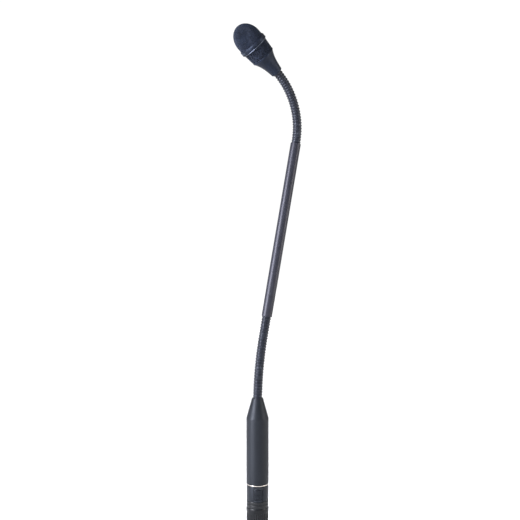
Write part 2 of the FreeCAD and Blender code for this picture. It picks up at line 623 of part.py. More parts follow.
def head():
    """The head: bell, vent, collar, dome, foam and the capsule in its holder."""
    def in_head(thing, label, along="0"):
        """Place a sub-part in the head and list it."""
        on_neck(keep(thing, label), HEAD_START, measure(along))

    bell = turned("head_shell", (
        ("neck_bore", "0"), ("bell_small_radius", "0"), ("bell_small_radius + bell_step", "bell_rim"),
        ("bell_waist_radius", "bell_waist", "bell_curve", "left"),
        ("bell_top_radius", "bell_top", "bell_curve", "left"),
        ("bell_ring_radius", "bell_top"), ("bell_ring_radius", "bell_top + bell_ring"),
        ("bell_top_radius - bell_wall", "bell_top + bell_ring"),
        ("bell_top_radius - bell_wall", "bell_top - bell_ledge"),
        ("bell_waist_radius - bell_thinning", "bell_waist + bell_thinning"),
        ("bush_radius + slip", "bush_seat + bush_length"),
        ("bush_radius + slip", "bush_seat"), ("neck_bore", "bush_seat")))
    turn = measure("head_screw_turn")
    start = measure("head_screw_start")
    rise = measure("head_screw_rise")
    hole = radial_rod("head_screw_hole", "head_screw_radius + screw_gap", "head_hole", turn, start, rise)
    in_head(cut("head_shell", bell, hole), "head_shell")
    bush = sleeve("head_bush", "neck_bore", "bush_radius", "bush_length - 2 * seat_gap",
                  z="bush_seat + seat_gap")
    bush_hole = radial_rod("bush_screw_hole", "head_screw_radius + screw_gap", "head_hole", turn,
                           start - measure("overrun"), rise)
    in_head(cut("head_bush", bush, bush_hole), "head_bush")
    in_head(radial_rod("head_screw", "head_screw_radius", "head_screw_length", turn, start, rise),
            "head_screw")

    vent_base = "bell_top + bell_ring + seat_gap"
    frame = turned("vent_frame", (
        ("vent_low_radius - vent_skin - vent_wall", "0"), ("vent_low_radius - vent_skin - slip", "0"),
        ("vent_high_radius - vent_skin - slip", "vent_length"),
        ("vent_high_radius - vent_skin - vent_wall", "vent_length")))
    windows = []
    for number in range(int(measure("vent_windows"))):
        window = bind(doc.addObject("Part::Box", f"vent_window_{number + 1}"), Length="window_depth",
                      Width="vent_window", Height="vent_length - 2 * window_sill")
        window.Placement = turn_to(360 * number / measure("vent_windows"), measure("window_start"),
                                   measure("window_sill")) * \
            FreeCAD.Placement(FreeCAD.Vector(0, -measure("vent_window") / 2, 0),
                              FreeCAD.Rotation())
        windows.append(window)
    in_head(cut("vent_frame", frame, *windows), "vent_frame", vent_base)
    in_head(turned("vent_mesh", (
        ("vent_low_radius - vent_skin", "0"), ("vent_low_radius", "0"),
        ("vent_high_radius", "vent_length"), ("vent_high_radius - vent_skin", "vent_length"))),
        "vent_mesh", vent_base)

    collar_base = vent_base + " + vent_length + seat_gap"
    in_head(turned("grille_collar", (
        ("collar_seat_radius", "0"), ("collar_radius - collar_edge", "0"),
        ("collar_radius", "collar_edge"), ("collar_radius", "collar_length - collar_edge"),
        ("collar_radius - collar_edge + collar_lip", "collar_length"),
        ("dome_radius + fit", "collar_length"), ("dome_radius + fit", "collar_seat"),
        ("collar_seat_radius", "collar_seat"))), "grille_collar", collar_base)

    dome_base = collar_base + " + collar_seat + seat_gap"
    in_head(dome("grille_dome", "dome_radius", "dome_wall", "dome_skirt", "dome_height"),
            "grille_dome", dome_base)
    in_head(dome("grille_foam", "dome_radius - dome_wall - foam_gap", "foam_wall", "dome_skirt",
                 "dome_height - dome_wall - foam_gap"), "grille_foam", dome_base)

    in_head(sleeve("capsule", None, "capsule_radius", "capsule_length"), "capsule", "capsule_base")
    in_head(turned("capsule_holder", (
        ("capsule_radius + fit", "0"), ("holder_foot_radius", "0"),
        ("holder_foot_radius", "holder_foot"), ("holder_radius", "holder_foot"),
        ("holder_radius", "holder_length"), ("capsule_radius + fit", "holder_length"))),
        "capsule_holder", collar_base + " + lead_gap")
    leads = []
    for side in (-1, 1):
        lead = bind(doc.addObject("Part::Cylinder", "lead_left" if side < 0 else "lead_right"),
                    Radius="lead_radius", Height="capsule_base - cable_head - 2 * lead_gap")
        lead.Placement = turn_to(0, side * measure("lead_spread"), 0)
        leads.append(lead)
    in_head(group("capsule_leads", leads), "capsule_leads", "cable_head + lead_gap")


def dome(label, radius, wall, skirt, height):
    """A half-ellipsoid shell on a cylindrical skirt, open below."""
    def solid(name, less, drop):
        """Outer or inner form of the shell."""
        cylinder = bind(doc.addObject("Part::Cylinder", name + "_skirt"),
                        Radius=radius + less, Height=skirt + drop)
        if drop:
            bind(cylinder, z="-" + drop.lstrip(" +"))
        cap = bind(doc.addObject("Part::Ellipsoid", name + "_cap"), Radius1=height + less,
                   Radius2=radius + less, z=skirt)
        cap.Radius3 = 0
        cap.Angle1, cap.Angle2, cap.Angle3 = 0, 90, 360
        return group(name, (cylinder, cap))

    return cut(label, solid(label + "_outer", "", ""), solid(label + "_inner", " - " + wall, " + overrun"))


connector()
latch()
barrel()
preamplifier()
flexible("lower", LOWER_START, measure("lower_flex"), measure("cable_tail - coil_relief"), measure("tube_grip"))
tube()
flexible("upper", TUBE_END, measure("upper_flex"), measure("tube_grip"),
         measure("bush_seat + bush_length"))
cable()
head()
doc.recompute()

for item in doc.Objects:
    if {"Invalid", "Error"} & set(item.State):
        raise RuntimeError(f"{item.Label}: {item.State}")
os.makedirs("parts", exist_ok=True)
for piece in pieces:
    shape = piece.Shape
    if shape.isNull() or not shape.isValid() or not shape.Solids:
        raise RuntimeError(f"{piece.Label}: no valid solid")
    shape.exportStep(f"parts/{piece.Label}.step")
print(f"{len(pieces)} sub-parts written")
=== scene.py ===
# Looks of a gooseneck podium microphone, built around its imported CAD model.
import json
import logging
import math
from dataclasses import dataclass, field
from enum import Enum
from typing import Callable, Optional, Sequence

import bmesh
import bpy
from mathutils import Matrix, Vector


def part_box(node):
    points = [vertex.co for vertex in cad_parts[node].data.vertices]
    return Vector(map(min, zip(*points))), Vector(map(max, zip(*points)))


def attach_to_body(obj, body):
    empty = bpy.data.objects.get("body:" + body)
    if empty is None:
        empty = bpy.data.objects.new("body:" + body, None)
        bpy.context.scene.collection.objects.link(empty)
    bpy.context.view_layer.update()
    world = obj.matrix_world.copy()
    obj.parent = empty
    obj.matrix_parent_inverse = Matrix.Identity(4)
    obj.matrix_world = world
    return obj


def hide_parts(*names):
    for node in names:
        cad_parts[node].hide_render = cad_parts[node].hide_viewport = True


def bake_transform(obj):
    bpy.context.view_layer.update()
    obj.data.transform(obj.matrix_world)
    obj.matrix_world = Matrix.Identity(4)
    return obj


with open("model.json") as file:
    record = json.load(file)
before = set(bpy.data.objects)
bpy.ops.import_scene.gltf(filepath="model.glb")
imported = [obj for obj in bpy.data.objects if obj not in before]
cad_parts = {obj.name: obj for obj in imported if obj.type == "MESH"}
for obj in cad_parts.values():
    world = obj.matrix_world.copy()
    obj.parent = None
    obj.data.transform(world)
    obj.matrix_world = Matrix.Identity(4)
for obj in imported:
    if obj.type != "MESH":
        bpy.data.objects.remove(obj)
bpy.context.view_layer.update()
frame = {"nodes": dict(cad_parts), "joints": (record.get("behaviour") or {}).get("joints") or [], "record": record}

MM = 0.001
UP = Vector((0.0, 0.0, 1.0))
SIDE = Vector((1.0, 0.0, 0.0))      # the neck bends square to this direction
BACK = Vector((0.0, 1.0, 0.0))      # away from the way the head leans
UPPER_SETTLE = 0.36                 # how far the upper section lies inside its bend
LOWER_FOOT = 25.0                   # how far the lower section reaches into the barrel
SIGNAL_CABLE = 1.4                  # radius of the cable inside the neck
CABLE_SIDES = 16
MERGE = 1e-7                        # points closer than this, in metres, become one
FINE = 144                          # facets round the turned parts that are seen closest

log = logging.getLogger("microphone")

Profile = list[tuple[float, float]]  # (radius, height) pairs in millimetres


# ---------------------------------------------------------------- finishes

CLOUD_SCALE = 160.0                 # slow patches of tone and gloss, to the metre
PATCHES = (0.3, 0.7)                # the part of a noise's range that tone and gloss spread over
GRAIN_SHARE = 0.45                  # how far the relief takes part in the tone
WORN_AND_LIT_EDGES = (0.53, 0.60)           # pointiness where the painted edge highlight and wear begin, and where they are full
EDGE_WEAR_AND_HIGHLIGHT = 0.7                          # how much of the lighter edge colour, painted highlight and wear, shows at most
LONG_GRAIN = 0.02                   # stretch of a drawn or turned pattern along its lines


def linear(code: str) -> tuple[float, float, float, float]:
    """Turn an sRGB hex colour into linear light.

    Args:
        code: Six hex digits, such as "3a3d44".

    Returns:
        Linear red, green, blue and an alpha of 1.
    """
    parts = [int(code[i:i + 2], 16) / 255 for i in (0, 2, 4)]
    light = [c / 12.92 if c <= 0.04045 else ((c + 0.055) / 1.055) ** 2.4 for c in parts]
    return (light[0], light[1], light[2], 1.0)


def add_node(tree: bpy.types.NodeTree, kind: str, settings: Optional[dict] = None,
             values: Optional[dict] = None, links: Optional[dict] = None) -> bpy.types.Node:
    """Add a shader node with its settings, socket values and incoming links.

    Args:
        tree: The material's node tree.
        kind: The node's type name.
        settings: Properties of the node itself.
        values: Input sockets to set, by name or number.
        links: Input sockets to link, each to an output socket.

    Returns:
        The new node.
    """
    node = tree.nodes.new(kind)
    for name, value in (settings or {}).items():
        setattr(node, name, value)
    for name, value in (values or {}).items():
        node.inputs[name].default_value = value
    for name, source in (links or {}).items():
        tree.links.new(source, node.inputs[name])
    return node


class Texture(Enum):
    """How a surface was made, which sets the pattern of its relief."""

    ORANGE_PEEL = "sprayed and baked, so it has soft little hills"
    TURNED = "cut on a lathe, so fine rings run round the axis"
    DRAWN = "pulled through a die, so fine lines run along it"
    MOULDED = "cast in a spark-eroded mould, so it is finely grained"
    CELLS = "foamed, so it is full of open cells"


@dataclass(frozen=True)
class Finish:
    """A material of the object: its colours, gloss and the grain of its surface.

    Attributes:
        name: The material's name, as a maker would say it.
        dark: sRGB hex of its darker patches.
        light: sRGB hex of its lighter patches.
        roughness: Mean roughness of the surface.
        texture: How the surface was made.
        grain: Size of one grain of the texture, in millimetres.
        relief: Height of the relief, in millimetres.
        metallic: 1 for bare metal, 0 for paint and plastic.
        ior: Index of refraction; a metal keeps the default.
        spread: How much the roughness varies over the surface.
        edge_wear_and_highlight: sRGB hex of the lighter colour painted on sharp outer edges, as rubbed wear and as
            a painted edge highlight, or nothing.
        coat: Weight of a clear coat.
        sheen: Weight of the soft sheen of a matt, dusty surface.
        specular: Strength of the surface's own reflection.
        tint: sRGB hex that the reflection takes on, for pigments that show through it.
    """

    name: str
    dark: str
    light: str
    roughness: float
    texture: Texture
    grain: float
    relief: float
    metallic: float = 0.0
    ior: float = 1.5
    spread: float = 0.08
    edge_wear_and_highlight: Optional[str] = None
    coat: float = 0.0
    sheen: float = 0.0
    specular: float = 0.5
    tint: str = "ffffff"

    def pattern(self, tree: bpy.types.NodeTree) -> bpy.types.NodeSocket:
        """Build the relief's height pattern.

        Args:
            tree: The material's node tree.

        Returns:
            The socket that gives the height, from 0 to 1.
        """
        place = add_node(tree, "ShaderNodeTexCoord").outputs["Object"]
        fine = 1.0 / (self.grain * MM)
        stretch = {Texture.TURNED: (LONG_GRAIN, LONG_GRAIN, 1.0),
                   Texture.DRAWN: (1.0, 1.0, LONG_GRAIN)}
        scaled = add_node(tree, "ShaderNodeMapping", {"vector_type": "POINT"},
                          {"Scale": [fine * s for s in stretch.get(self.texture, (1, 1, 1))]},
                          {"Vector": place})
        if self.texture is Texture.CELLS:
            cells = add_node(tree, "ShaderNodeTexVoronoi", {"feature": "DISTANCE_TO_EDGE"},
                             {"Scale": 1.0}, {"Vector": scaled.outputs[0]})
            return cells.outputs["Distance"]
        detail = {Texture.ORANGE_PEEL: 1.0, Texture.MOULDED: 3.0}.get(self.texture, 2.0)
        grain = add_node(tree, "ShaderNodeTexNoise", {},
                         {"Scale": 1.0, "Detail": detail, "Roughness": 0.55},
                         {"Vector": scaled.outputs[0]})
        return grain.outputs["Fac"]

    def make(self) -> bpy.types.Material:
        """Build the material, unless it is there already.

        Returns:
            The material.
        """
        found = bpy.data.materials.get(self.name)
        if found:
            return found
        material = bpy.data.materials.new(self.name)
        material.use_nodes = True
        tree = material.node_tree
        shader = tree.nodes["Principled BSDF"]
        for socket, value in (("Metallic", self.metallic), ("IOR", self.ior),
                              ("Coat Weight", self.coat), ("Sheen Weight", self.sheen),
                              ("Specular IOR Level", self.specular)):
            shader.inputs[socket].default_value = value
        shader.inputs["Specular Tint"].default_value = linear(self.tint)
        height = self.pattern(tree)
        place = add_node(tree, "ShaderNodeTexCoord").outputs["Object"]
        clouds = add_node(tree, "ShaderNodeTexNoise", {}, {"Scale": CLOUD_SCALE, "Detail": 4.0},
                          {"Vector": place}).outputs["Fac"]
        blotch = add_node(tree, "ShaderNodeMix", {"data_type": "FLOAT"}, {0: GRAIN_SHARE},
                          {2: clouds, 3: height}).outputs[0]
        tone = add_node(tree, "ShaderNodeValToRGB", {}, {}, {"Fac": blotch})
        for stop, position, code in zip(tone.color_ramp.elements, PATCHES,
                                        (self.dark, self.light)):
            stop.position, stop.color = position, linear(code)
        colour = tone.outputs["Color"]
        # Sharp outer edges take the lighter edge colour: rubbed wear and a painted edge highlight.
        if self.edge_wear_and_highlight:
            colour = self.paint_wear_and_highlight(tree, colour, clouds)
        gloss = add_node(tree, "ShaderNodeMapRange", {},
                         {"From Min": PATCHES[0], "From Max": PATCHES[1],
                          "To Min": max(0.03, self.roughness - self.spread),
                          "To Max": min(1.0, self.roughness + self.spread)}, {"Value": clouds})
        bump = add_node(tree, "ShaderNodeBump", {},
                        {"Strength": 1.0, "Distance": self.relief * MM}, {"Height": height})
        tree.links.new(colour, shader.inputs["Base Color"])
        tree.links.new(gloss.outputs[0], shader.inputs["Roughness"])
        tree.links.new(bump.outputs["Normal"], shader.inputs["Normal"])
        return material

    def paint_wear_and_highlight(self, tree: bpy.types.NodeTree, colour: bpy.types.NodeSocket,
            clouds: bpy.types.NodeSocket) -> bpy.types.NodeSocket:
        """Paint the lighter edge colour on outer edges, in patches, as rubbed wear and as a painted edge
        highlight.

        Args:
            tree: The material's node tree.
            colour: The colour of the whole surface.
            clouds: A slow pattern that breaks the wear and the painted highlight up.

        Returns:
            The colour with its edges lightened by wear and by painted highlight.
        """
        edge = add_node(tree, "ShaderNodeNewGeometry").outputs["Pointiness"]
        sharp = add_node(tree, "ShaderNodeMapRange", {},
                         {"From Min": WORN_AND_LIT_EDGES[0], "From Max": WORN_AND_LIT_EDGES[1],
                          "To Max": EDGE_WEAR_AND_HIGHLIGHT}, {"Value": edge})
        broken = add_node(tree, "ShaderNodeMath", {"operation": "MULTIPLY"}, {},
                          {0: sharp.outputs[0], 1: clouds})
        mixed = add_node(tree, "ShaderNodeMix", {"data_type": "RGBA"}, {7: linear(self.edge_wear_and_highlight)},
                         {0: broken.outputs[0], 6: colour})
        return mixed.outputs[2]


# The lighter edge colours below are painted on sharp outer edges, as rubbed wear and as a painted edge highlight.
# Powder coat on turned aluminium: satin and bluish charcoal, so light spreads into broad bands.
BARREL_COAT = Finish("powder_coat_charcoal", "0f1115", "15181c", 0.47, Texture.ORANGE_PEEL,
                     0.45, 0.005, edge_wear_and_highlight="4c5058", specular=0.25, spread=0.05, tint="e4eaf4")
# The same coat on the drawn tube, a little smoother, so its highlight is narrower and brighter.
TUBE_COAT = Finish("powder_coat_tube", "1d1e24", "26272e", 0.37, Texture.DRAWN, 0.5, 0.004,
                   edge_wear_and_highlight="5c6068", specular=0.29, spread=0.05, tint="ecebf6")
# Stoved enamel on the die-cast head parts: darker and more matt than the barrel.
HEAD_ENAMEL = Finish("stoved_enamel_head", "0d1118", "121722", 0.50, Texture.ORANGE_PEEL,
                     0.4, 0.005, edge_wear_and_highlight="3a424f", specular=0.23, tint="c6d4f2")
# The collar's bead, where the enamel is polished back: a thin glossy line.
POLISHED_BEAD = Finish("polished_bead", "4a505c", "5a606d", 0.30, Texture.TURNED, 0.1, 0.001,
                       metallic=1.0)
# Black oxide on wound spring steel: dark, oily metal that glints on each winding, partly through a painted
# highlight in its lighter edge colour.
OXIDE_WIRE = Finish("black_oxide_wire", "101218", "1a1d24", 0.29, Texture.DRAWN, 0.3, 0.004,
                    metallic=0.1, specular=0.36, edge_wear_and_highlight="60656f", spread=0.05, tint="dfe3f0")
# Woven steel wire, dip-coated: it glints at each crossing, partly through a painted highlight in its lighter edge
# colour.
GRILLE_WIRE = Finish("coated_woven_wire", "090c12", "10141e", 0.37, Texture.ORANGE_PEEL,
                     0.25, 0.004, metallic=0.0, edge_wear_and_highlight="343c4c", specular=0.18, tint="ccd8f4")
# Acoustic foam behind the wire, almost black and without gloss.
FOAM = Finish("open_cell_foam", "0b0d12", "181b23", 0.95, Texture.CELLS, 0.6, 0.25, sheen=0.15)
# Nickel plate on turned brass: warm silver with fine rings from the lathe.
NICKEL = Finish("nickel_plate", "b4aea6", "cbc5bd", 0.26, Texture.TURNED, 0.08, 0.002,
                metallic=1.0)
# Black coat on the die-cast zinc connector: satin, with sharper edges than the barrel.
CONNECTOR_COAT = Finish("black_coat_on_zinc", "0d0f12", "131519", 0.36, Texture.ORANGE_PEEL,
                        0.35, 0.004, edge_wear_and_highlight="5a5e66", specular=0.27, spread=0.05, tint="dfe8f6")
# Moulded nylon rings and inserts: finely grained by the mould.
NYLON = Finish("moulded_nylon", "0b0d0f", "111316", 0.32, Texture.MOULDED, 0.22, 0.004,
               ior=1.53, specular=0.25)
# The vent's inner frame, matt black so that it does not show through the wire.
VENT_PLASTIC = Finish("matt_black_moulding", "060607", "0b0b0d", 0.8, Texture.MOULDED, 0.2,
                      0.006, specular=0.1)
# Soft moulded boot: matt rubber with a slight sheen.
BOOT_RUBBER = Finish("moulded_rubber", "090b0d", "0e1013", 0.32, Texture.MOULDED, 0.3, 0.004,
                     ior=1.52, specular=0.19)
# Gold flash on the contacts.
GOLD = Finish("gold_flash", "c79a3c", "e2bb62", 0.2, Texture.TURNED, 0.08, 0.001, metallic=1.0)
# Turned brass bushes, left bare inside the neck.
BRASS = Finish("turned_brass", "a9873f", "c7a55a", 0.3, Texture.TURNED, 0.1, 0.003, metallic=1.0)
# Zinc-plated steel screws and the latch's leaf spring.
PLATED_STEEL = Finish("zinc_plated_steel", "8d9095", "b4b7bb", 0.32, Texture.TURNED, 0.12,
                      0.002, metallic=1.0)
# Green solder resist on glass-fibre laminate: a glossy film over a faint weave.
SOLDER_RESIST = Finish("solder_resist", "0c3d22", "14532f", 0.25, Texture.MOULDED, 0.35, 0.008,
                       coat=0.4)
# Black epoxy of the chips.
EPOXY = Finish("moulded_epoxy", "101113", "1b1d20", 0.5, Texture.MOULDED, 0.12, 0.004)
# Drawn aluminium cans of the capacitors and the capsule.
ALUMINIUM_CAN = Finish("drawn_aluminium", "a8abaf", "cccfd2", 0.28, Texture.DRAWN, 0.15, 0.002,
                       metallic=1.0)
# Silicone ring that carries the capsule.
SILICONE = Finish("moulded_silicone", "15171a", "202327", 0.6, Texture.MOULDED, 0.25, 0.004,
                  ior=1.43)
# Extruded cable jackets.
JACKET = Finish("extruded_jacket", "131417", "1f2125", 0.5, Texture.DRAWN, 0.2, 0.003)
LEAD_JACKET = Finish("extruded_red_jacket", "6e1712", "8c2018", 0.45, Texture.DRAWN, 0.15, 0.002)
# Painted studio board under the object.
PALE_FLOOR = Finish("painted_board", "fbfbfb", "ffffff", 0.9, Texture.ORANGE_PEEL, 8.0, 0.02)


# ---------------------------------------------------------------- shapes

NEARLY_STRAIGHT = math.radians(84)  # half the angle of a corner that needs no rounding
SHORT = 0.45                        # most of an edge that a rounding takes up


def rounded(corners: Profile, radius: float, steps: int = 4) -> Profile:
    """Round the corners of a closed outline.

    Args:
        corners: The outline's corners, in order.
        radius: Radius of the rounding, cut down where edges are short.
        steps: Points on each rounding, less one.

    Returns:
        The outline with its corners rounded.
    """
    outline: Profile = []
    count = len(corners)
    for index, corner in enumerate(corners):
        here = Vector(corner)
        before = Vector(corners[index - 1]) - here
        after = Vector(corners[(index + 1) % count]) - here
        half = before.angle(after) / 2
        if half > NEARLY_STRAIGHT:
            outline.append(corner)
            continue
        reach = min(radius / math.tan(half), SHORT * before.length, SHORT * after.length)
        start = here + before.normalized() * reach
        end = here + after.normalized() * reach
        for step in range(steps + 1):
            part = step / steps
            point = start * (1 - part) ** 2 + here * 2 * part * (1 - part) + end * part ** 2
            outline.append((point.x, point.y))
    return outline


def with_rows(outline: Profile, radius: float, heights: Sequence[float]) -> Profile:
    """Add rows to a straight wall of an outline, so that holes disturb only their own rows.

    Args:
        outline: (radius, height) points, rising along the wall.
        radius: Radius of the wall.
        heights: Where the rows go, in rising order.

    Returns:
        The outline with those rows in it.
    """
    for index, (first, last) in enumerate(zip(outline, outline[1:])):
        if abs(first[0] - radius) + abs(last[0] - radius) < 1e-6 and last[1] > heights[-1]:
            rows = [(radius, height) for height in heights]
            return outline[:index + 1] + rows + outline[index + 1:]
    raise ValueError("the outline has no such wall")


def grid_faces(rows: int, columns: int, around: bool = True,
               closed: bool = False) -> list[tuple[int, ...]]:
    """Faces of a grid of points.

    Args:
        rows: Rows of points.
        columns: Points in a row.
        around: Whether the last column joins the first.
        closed: Whether the last row joins the first.

    Returns:
        Four corners for each face.
    """
    faces = []
    for row in range(rows if closed else rows - 1):
        start, after = row * columns, (row + 1) % rows * columns
        for column in range(columns if around else columns - 1):
            beside = (column + 1) % columns
            faces.append((start + column, start + beside, after + beside, after + column))
    return faces


def mesh_piece(name: str, points: Sequence[Vector], faces: Sequence[Sequence[int]],
               finish: Finish, crease: float = 40.0) -> bpy.types.Object:
    """Make an object from points and faces, closed, smooth and dressed.

    Args:
        name: The piece's name.
        points: Vertices in metres.
        faces: Vertex numbers of each face.
        finish: Its material.
        crease: Edges sharper than this, in degrees, stay sharp.

    Returns:
        The new object.
    """
    mesh = bpy.data.meshes.new(name)
    mesh.from_pydata([tuple(point) for point in points], [], [list(face) for face in faces])
    return finished(name, mesh, finish, crease)


def finished(name: str, mesh: bpy.types.Mesh, finish: Finish,
             crease: float = 40.0) -> bpy.types.Object:
    """Turn a mesh into a shown piece with outward faces.

    Args:
        name: The piece's name.
        mesh: Its mesh, in metres.
        finish: Its material.
        crease: Angle in degrees up to which it is smooth.

    Returns:
        The piece, linked to the scene.
    """
    work = bmesh.new()
    work.from_mesh(mesh)
    bmesh.ops.remove_doubles(work, verts=work.verts, dist=MERGE)
    bmesh.ops.recalc_face_normals(work, faces=work.faces)
    work.to_mesh(mesh)
    work.free()
    mesh.shade_smooth()
    mesh.set_sharp_from_angle(angle=math.radians(crease))
    mesh.materials.clear()
    mesh.materials.append(finish.make())
    piece = bpy.data.objects.new(name, mesh)
    bpy.context.scene.collection.objects.link(piece)
    return piece


def lathe(name: str, outline: Profile, finish: Finish, place: Matrix = Matrix.Identity(4),
          segments: int = 96,
          swell: Optional[Callable[[float, float], float]] = None) -> bpy.types.Object:
    """Turn a closed outline about the Z axis of a placement.

    Args:
        name: The piece's name.
        outline: Closed outline of (radius, height) in millimetres.
        finish: Its material.
        place: Where its own axis lies.
        segments: Facets round the axis.
        swell: Change of radius in millimetres at an angle and a height.

    Returns:
        The turned piece.
    """
    points = []
    for step in range(segments):
        angle = 2 * math.pi * step / segments
        for radius, height in outline:
            size = radius + (swell(angle, height) if swell else 0.0)
            points.append(place @ (Vector((size * math.cos(angle), size * math.sin(angle),
                                           height)) * MM))
    faces = grid_faces(segments, len(outline), closed=True)
    return mesh_piece(name, points, faces, finish)


def tube_along(path: Sequence[Vector], radius: float, sides: int, normals: Sequence[Vector],
               closed: bool = False) -> tuple[list[Vector], list[tuple[int, ...]]]:
    """Sweep a round section along a path.

    Args:
        path: Points of the centreline, in metres.
        radius: Radius of the section, in metres.
        sides: Facets of the section.
        normals: A direction across the path at each point.
        closed: Whether it runs round to its start, and so has no ends.

    Returns:
        Points and faces of the closed tube.
    """
    points = []
    last = len(path) - 1
    for index, middle in enumerate(path):
        ahead = (path[min(index + 1, last)] - path[max(index - 1, 0)]).normalized()
        across = (normals[index] - ahead * normals[index].dot(ahead)).normalized()
        other = ahead.cross(across)
        for step in range(sides):
            angle = 2 * math.pi * step / sides
            points.append(middle + (across * math.cos(angle) + other * math.sin(angle)) * radius)
    faces = grid_faces(last + 1, sides, closed=closed)
    if not closed:
        faces += [tuple(reversed(range(sides))),
                  tuple(range(last * sides, last * sides + sides))]
    return points, faces


def straight_cable(name: str, low: Vector, high: Vector, spans: int, body: str) -> None:
    """Build a straight stretch of the signal cable that rides on a body.

    Args:
        name: The piece's name.
        low: Its lower end, in metres.
        high: Its upper end.
        spans: Spans between its rows of points.
        body: The body it rides on.
    """
    path = [low.lerp(high, part / spans) for part in range(spans + 1)]
    points, faces = tube_along(path, SIGNAL_CABLE * MM, CABLE_SIDES, [SIDE] * len(path))
    attach(mesh_piece(name, points, faces, JACKET), body, "cable_jacket", "signal_cable")


def carve(piece: bpy.types.Object, cutter: bpy.types.Object) -> None:
    """Cut one closed piece out of another and remove the cutter.

    Args:
        piece: The piece that is cut.
        cutter: The piece that is taken away.
    """
    modifier = piece.modifiers.new("carve", "BOOLEAN")
    modifier.operation = "DIFFERENCE"
    modifier.solver = "EXACT"
    modifier.object = cutter
    graph = bpy.context.evaluated_depsgraph_get()
    shaped = bpy.data.meshes.new_from_object(piece.evaluated_get(graph))
    piece.modifiers.remove(modifier)
    piece.data = shaped
    bpy.data.objects.remove(cutter)


def screw_hole(piece: bpy.types.Object, node: str, foot: Vector, along: Vector,
               radius: float) -> None:
    """Cut the hole that a radial screw sits in.

    Args:
        piece: The closed piece to cut.
        node: The screw's CAD node.
        foot: A point of the piece's axis, in metres.
        along: Direction of that axis.
        radius: Radius of the hole in millimetres.
    """
    from_axis, to_axis, sides = 3.0, 16.0, 28
    middle = centre(node)
    level = foot + along * (middle - foot).dot(along)
    out = (middle - level).normalized()
    path = [level + out * reach * MM for reach in (from_axis, to_axis)]
    points, faces = tube_along(path, radius * MM, sides, [along] * 2)
    carve(piece, mesh_piece(node + "_hole", points, faces, EPOXY))


def attach(piece: bpy.types.Object, body: str, slot: str, *nodes: str) -> bpy.types.Object:
    """Let a piece ride on a body and stand for CAD nodes.

    Args:
        piece: The piece.
        body: The body it moves with.
        slot: The record's material slot; not used.
        nodes: CAD nodes that it stands for.

    Returns:
        The same piece.
    """
    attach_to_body(piece, body)
    if nodes:
        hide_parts(*nodes)
    log.info("%s rides on %s", piece.name, body)
    return piece


# ---------------------------------------------------------------- places

def centre(node: str) -> Vector:
    """Middle of a CAD node's box at rest, in metres."""
    low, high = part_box(node)
    return (low + high) / 2


def heights(node: str) -> tuple[float, float]:
    """Heights of a CAD node's lower and upper end, in millimetres."""
    low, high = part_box(node)
    return low.z / MM, high.z / MM


def half_width(node: str) -> float:
    """How far a CAD node reaches from the barrel's axis, in millimetres."""
    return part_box(node)[1].x / MM


def axes_at(origin: Vector, along: Vector) -> Matrix:
    """Placement whose Z axis lies along a direction in the neck's plane.

    Args:
        origin: Its origin, in metres.
        along: Direction of its Z axis.

    Returns:
        The placement.
    """
    deep = along.cross(SIDE).normalized()
    turn = Matrix((SIDE, deep, along)).transposed()
    return Matrix.Translation(origin) @ turn.to_4x4()


@dataclass
class NeckCurve:
    """Smooth centreline of a flexible section, through its joints.

    Attributes:
        points: Points of the line: its foot, its joints and its end, in metres.
        first: Direction at the foot.
        last: Direction at the end.
        density: Samples on each span.
    """

    points: list[Vector]
    first: Vector
    last: Vector
    density: int = 24
    samples: list[Vector] = field(default_factory=list)
    lengths: list[float] = field(default_factory=list)

    def __post_init__(self) -> None:
        """Sample the line and measure the length up to each sample."""
        tangents = [self.first]
        for before, after in zip(self.points, self.points[2:]):
            tangents.append((after - before).normalized())
        tangents.append(self.last)
        for index, (start, end) in enumerate(zip(self.points, self.points[1:])):
            size = (end - start).length
            for step in range(self.density):
                part = step / self.density
                square, cube = part ** 2, part ** 3
                self.samples.append(start * (2 * cube - 3 * square + 1)
                                    + tangents[index] * size * (cube - 2 * square + part)
                                    + end * (3 * square - 2 * cube)
                                    + tangents[index + 1] * size * (cube - square))
        self.samples.append(self.points[-1])
        self.lengths = [0.0]
        for before, after in zip(self.samples, self.samples[1:]):
            self.lengths.append(self.lengths[-1] + (after - before).length)

    @property
    def length(self) -> float:
        """Length of the line between its foot and its end."""
        return self.lengths[-1]

    def at(self, length: float) -> tuple[Vector, Vector]:
        """Find a place on the line, which runs on straight past its ends.

        Args:
            length: Length from its foot, in metres.

        Returns:
            The point there and the direction of the line.
        """
        if length <= 0:
            return self.points[0] + self.first * length, self.first
        if length >= self.length:
            return self.points[-1] + self.last * (length - self.length), self.last
        share = length / self.length * (len(self.samples) - 1)
        index = min(int(share), len(self.samples) - 2)
        while self.lengths[index] > length:
            index -= 1
        while self.lengths[index + 1] < length:
            index += 1
        part = (length - self.lengths[index]) / (self.lengths[index + 1] - self.lengths[index])
        middle = self.samples[index].lerp(self.samples[index + 1], part)
        before = self.samples[max(index - 1, 0)]
        after = self.samples[min(index + 2, len(self.samples) - 1)]
        return middle, (after - before).normalized()

    def ring(self, length: float, radius: float, angles: Sequence[float]) -> list[Vector]:
        """Points round the line at a length, square to it.

        Args:
            length: Length from its foot, in metres.
            radius: Radius of the ring, in metres.
            angles: Directions of the points, in radians.

        Returns:
            A point for each angle.
        """
        middle, ahead = self.at(length)
        across = ahead.cross(SIDE).normalized()
        return [middle + (SIDE * math.cos(a) + across * math.sin(a)) * radius for a in angles]


# ---------------------------------------------------------------- sub-assemblies

ROUND_WIRE = (-78, -55, -32, -11, 11, 32, 55, 78)       # points on the round wire, in degrees
FLAT_WIRE = ((0.12, 0.64), (0.30, 0.46), (0.70, 0.44), (0.88, 0.62))    # place, drop in mm


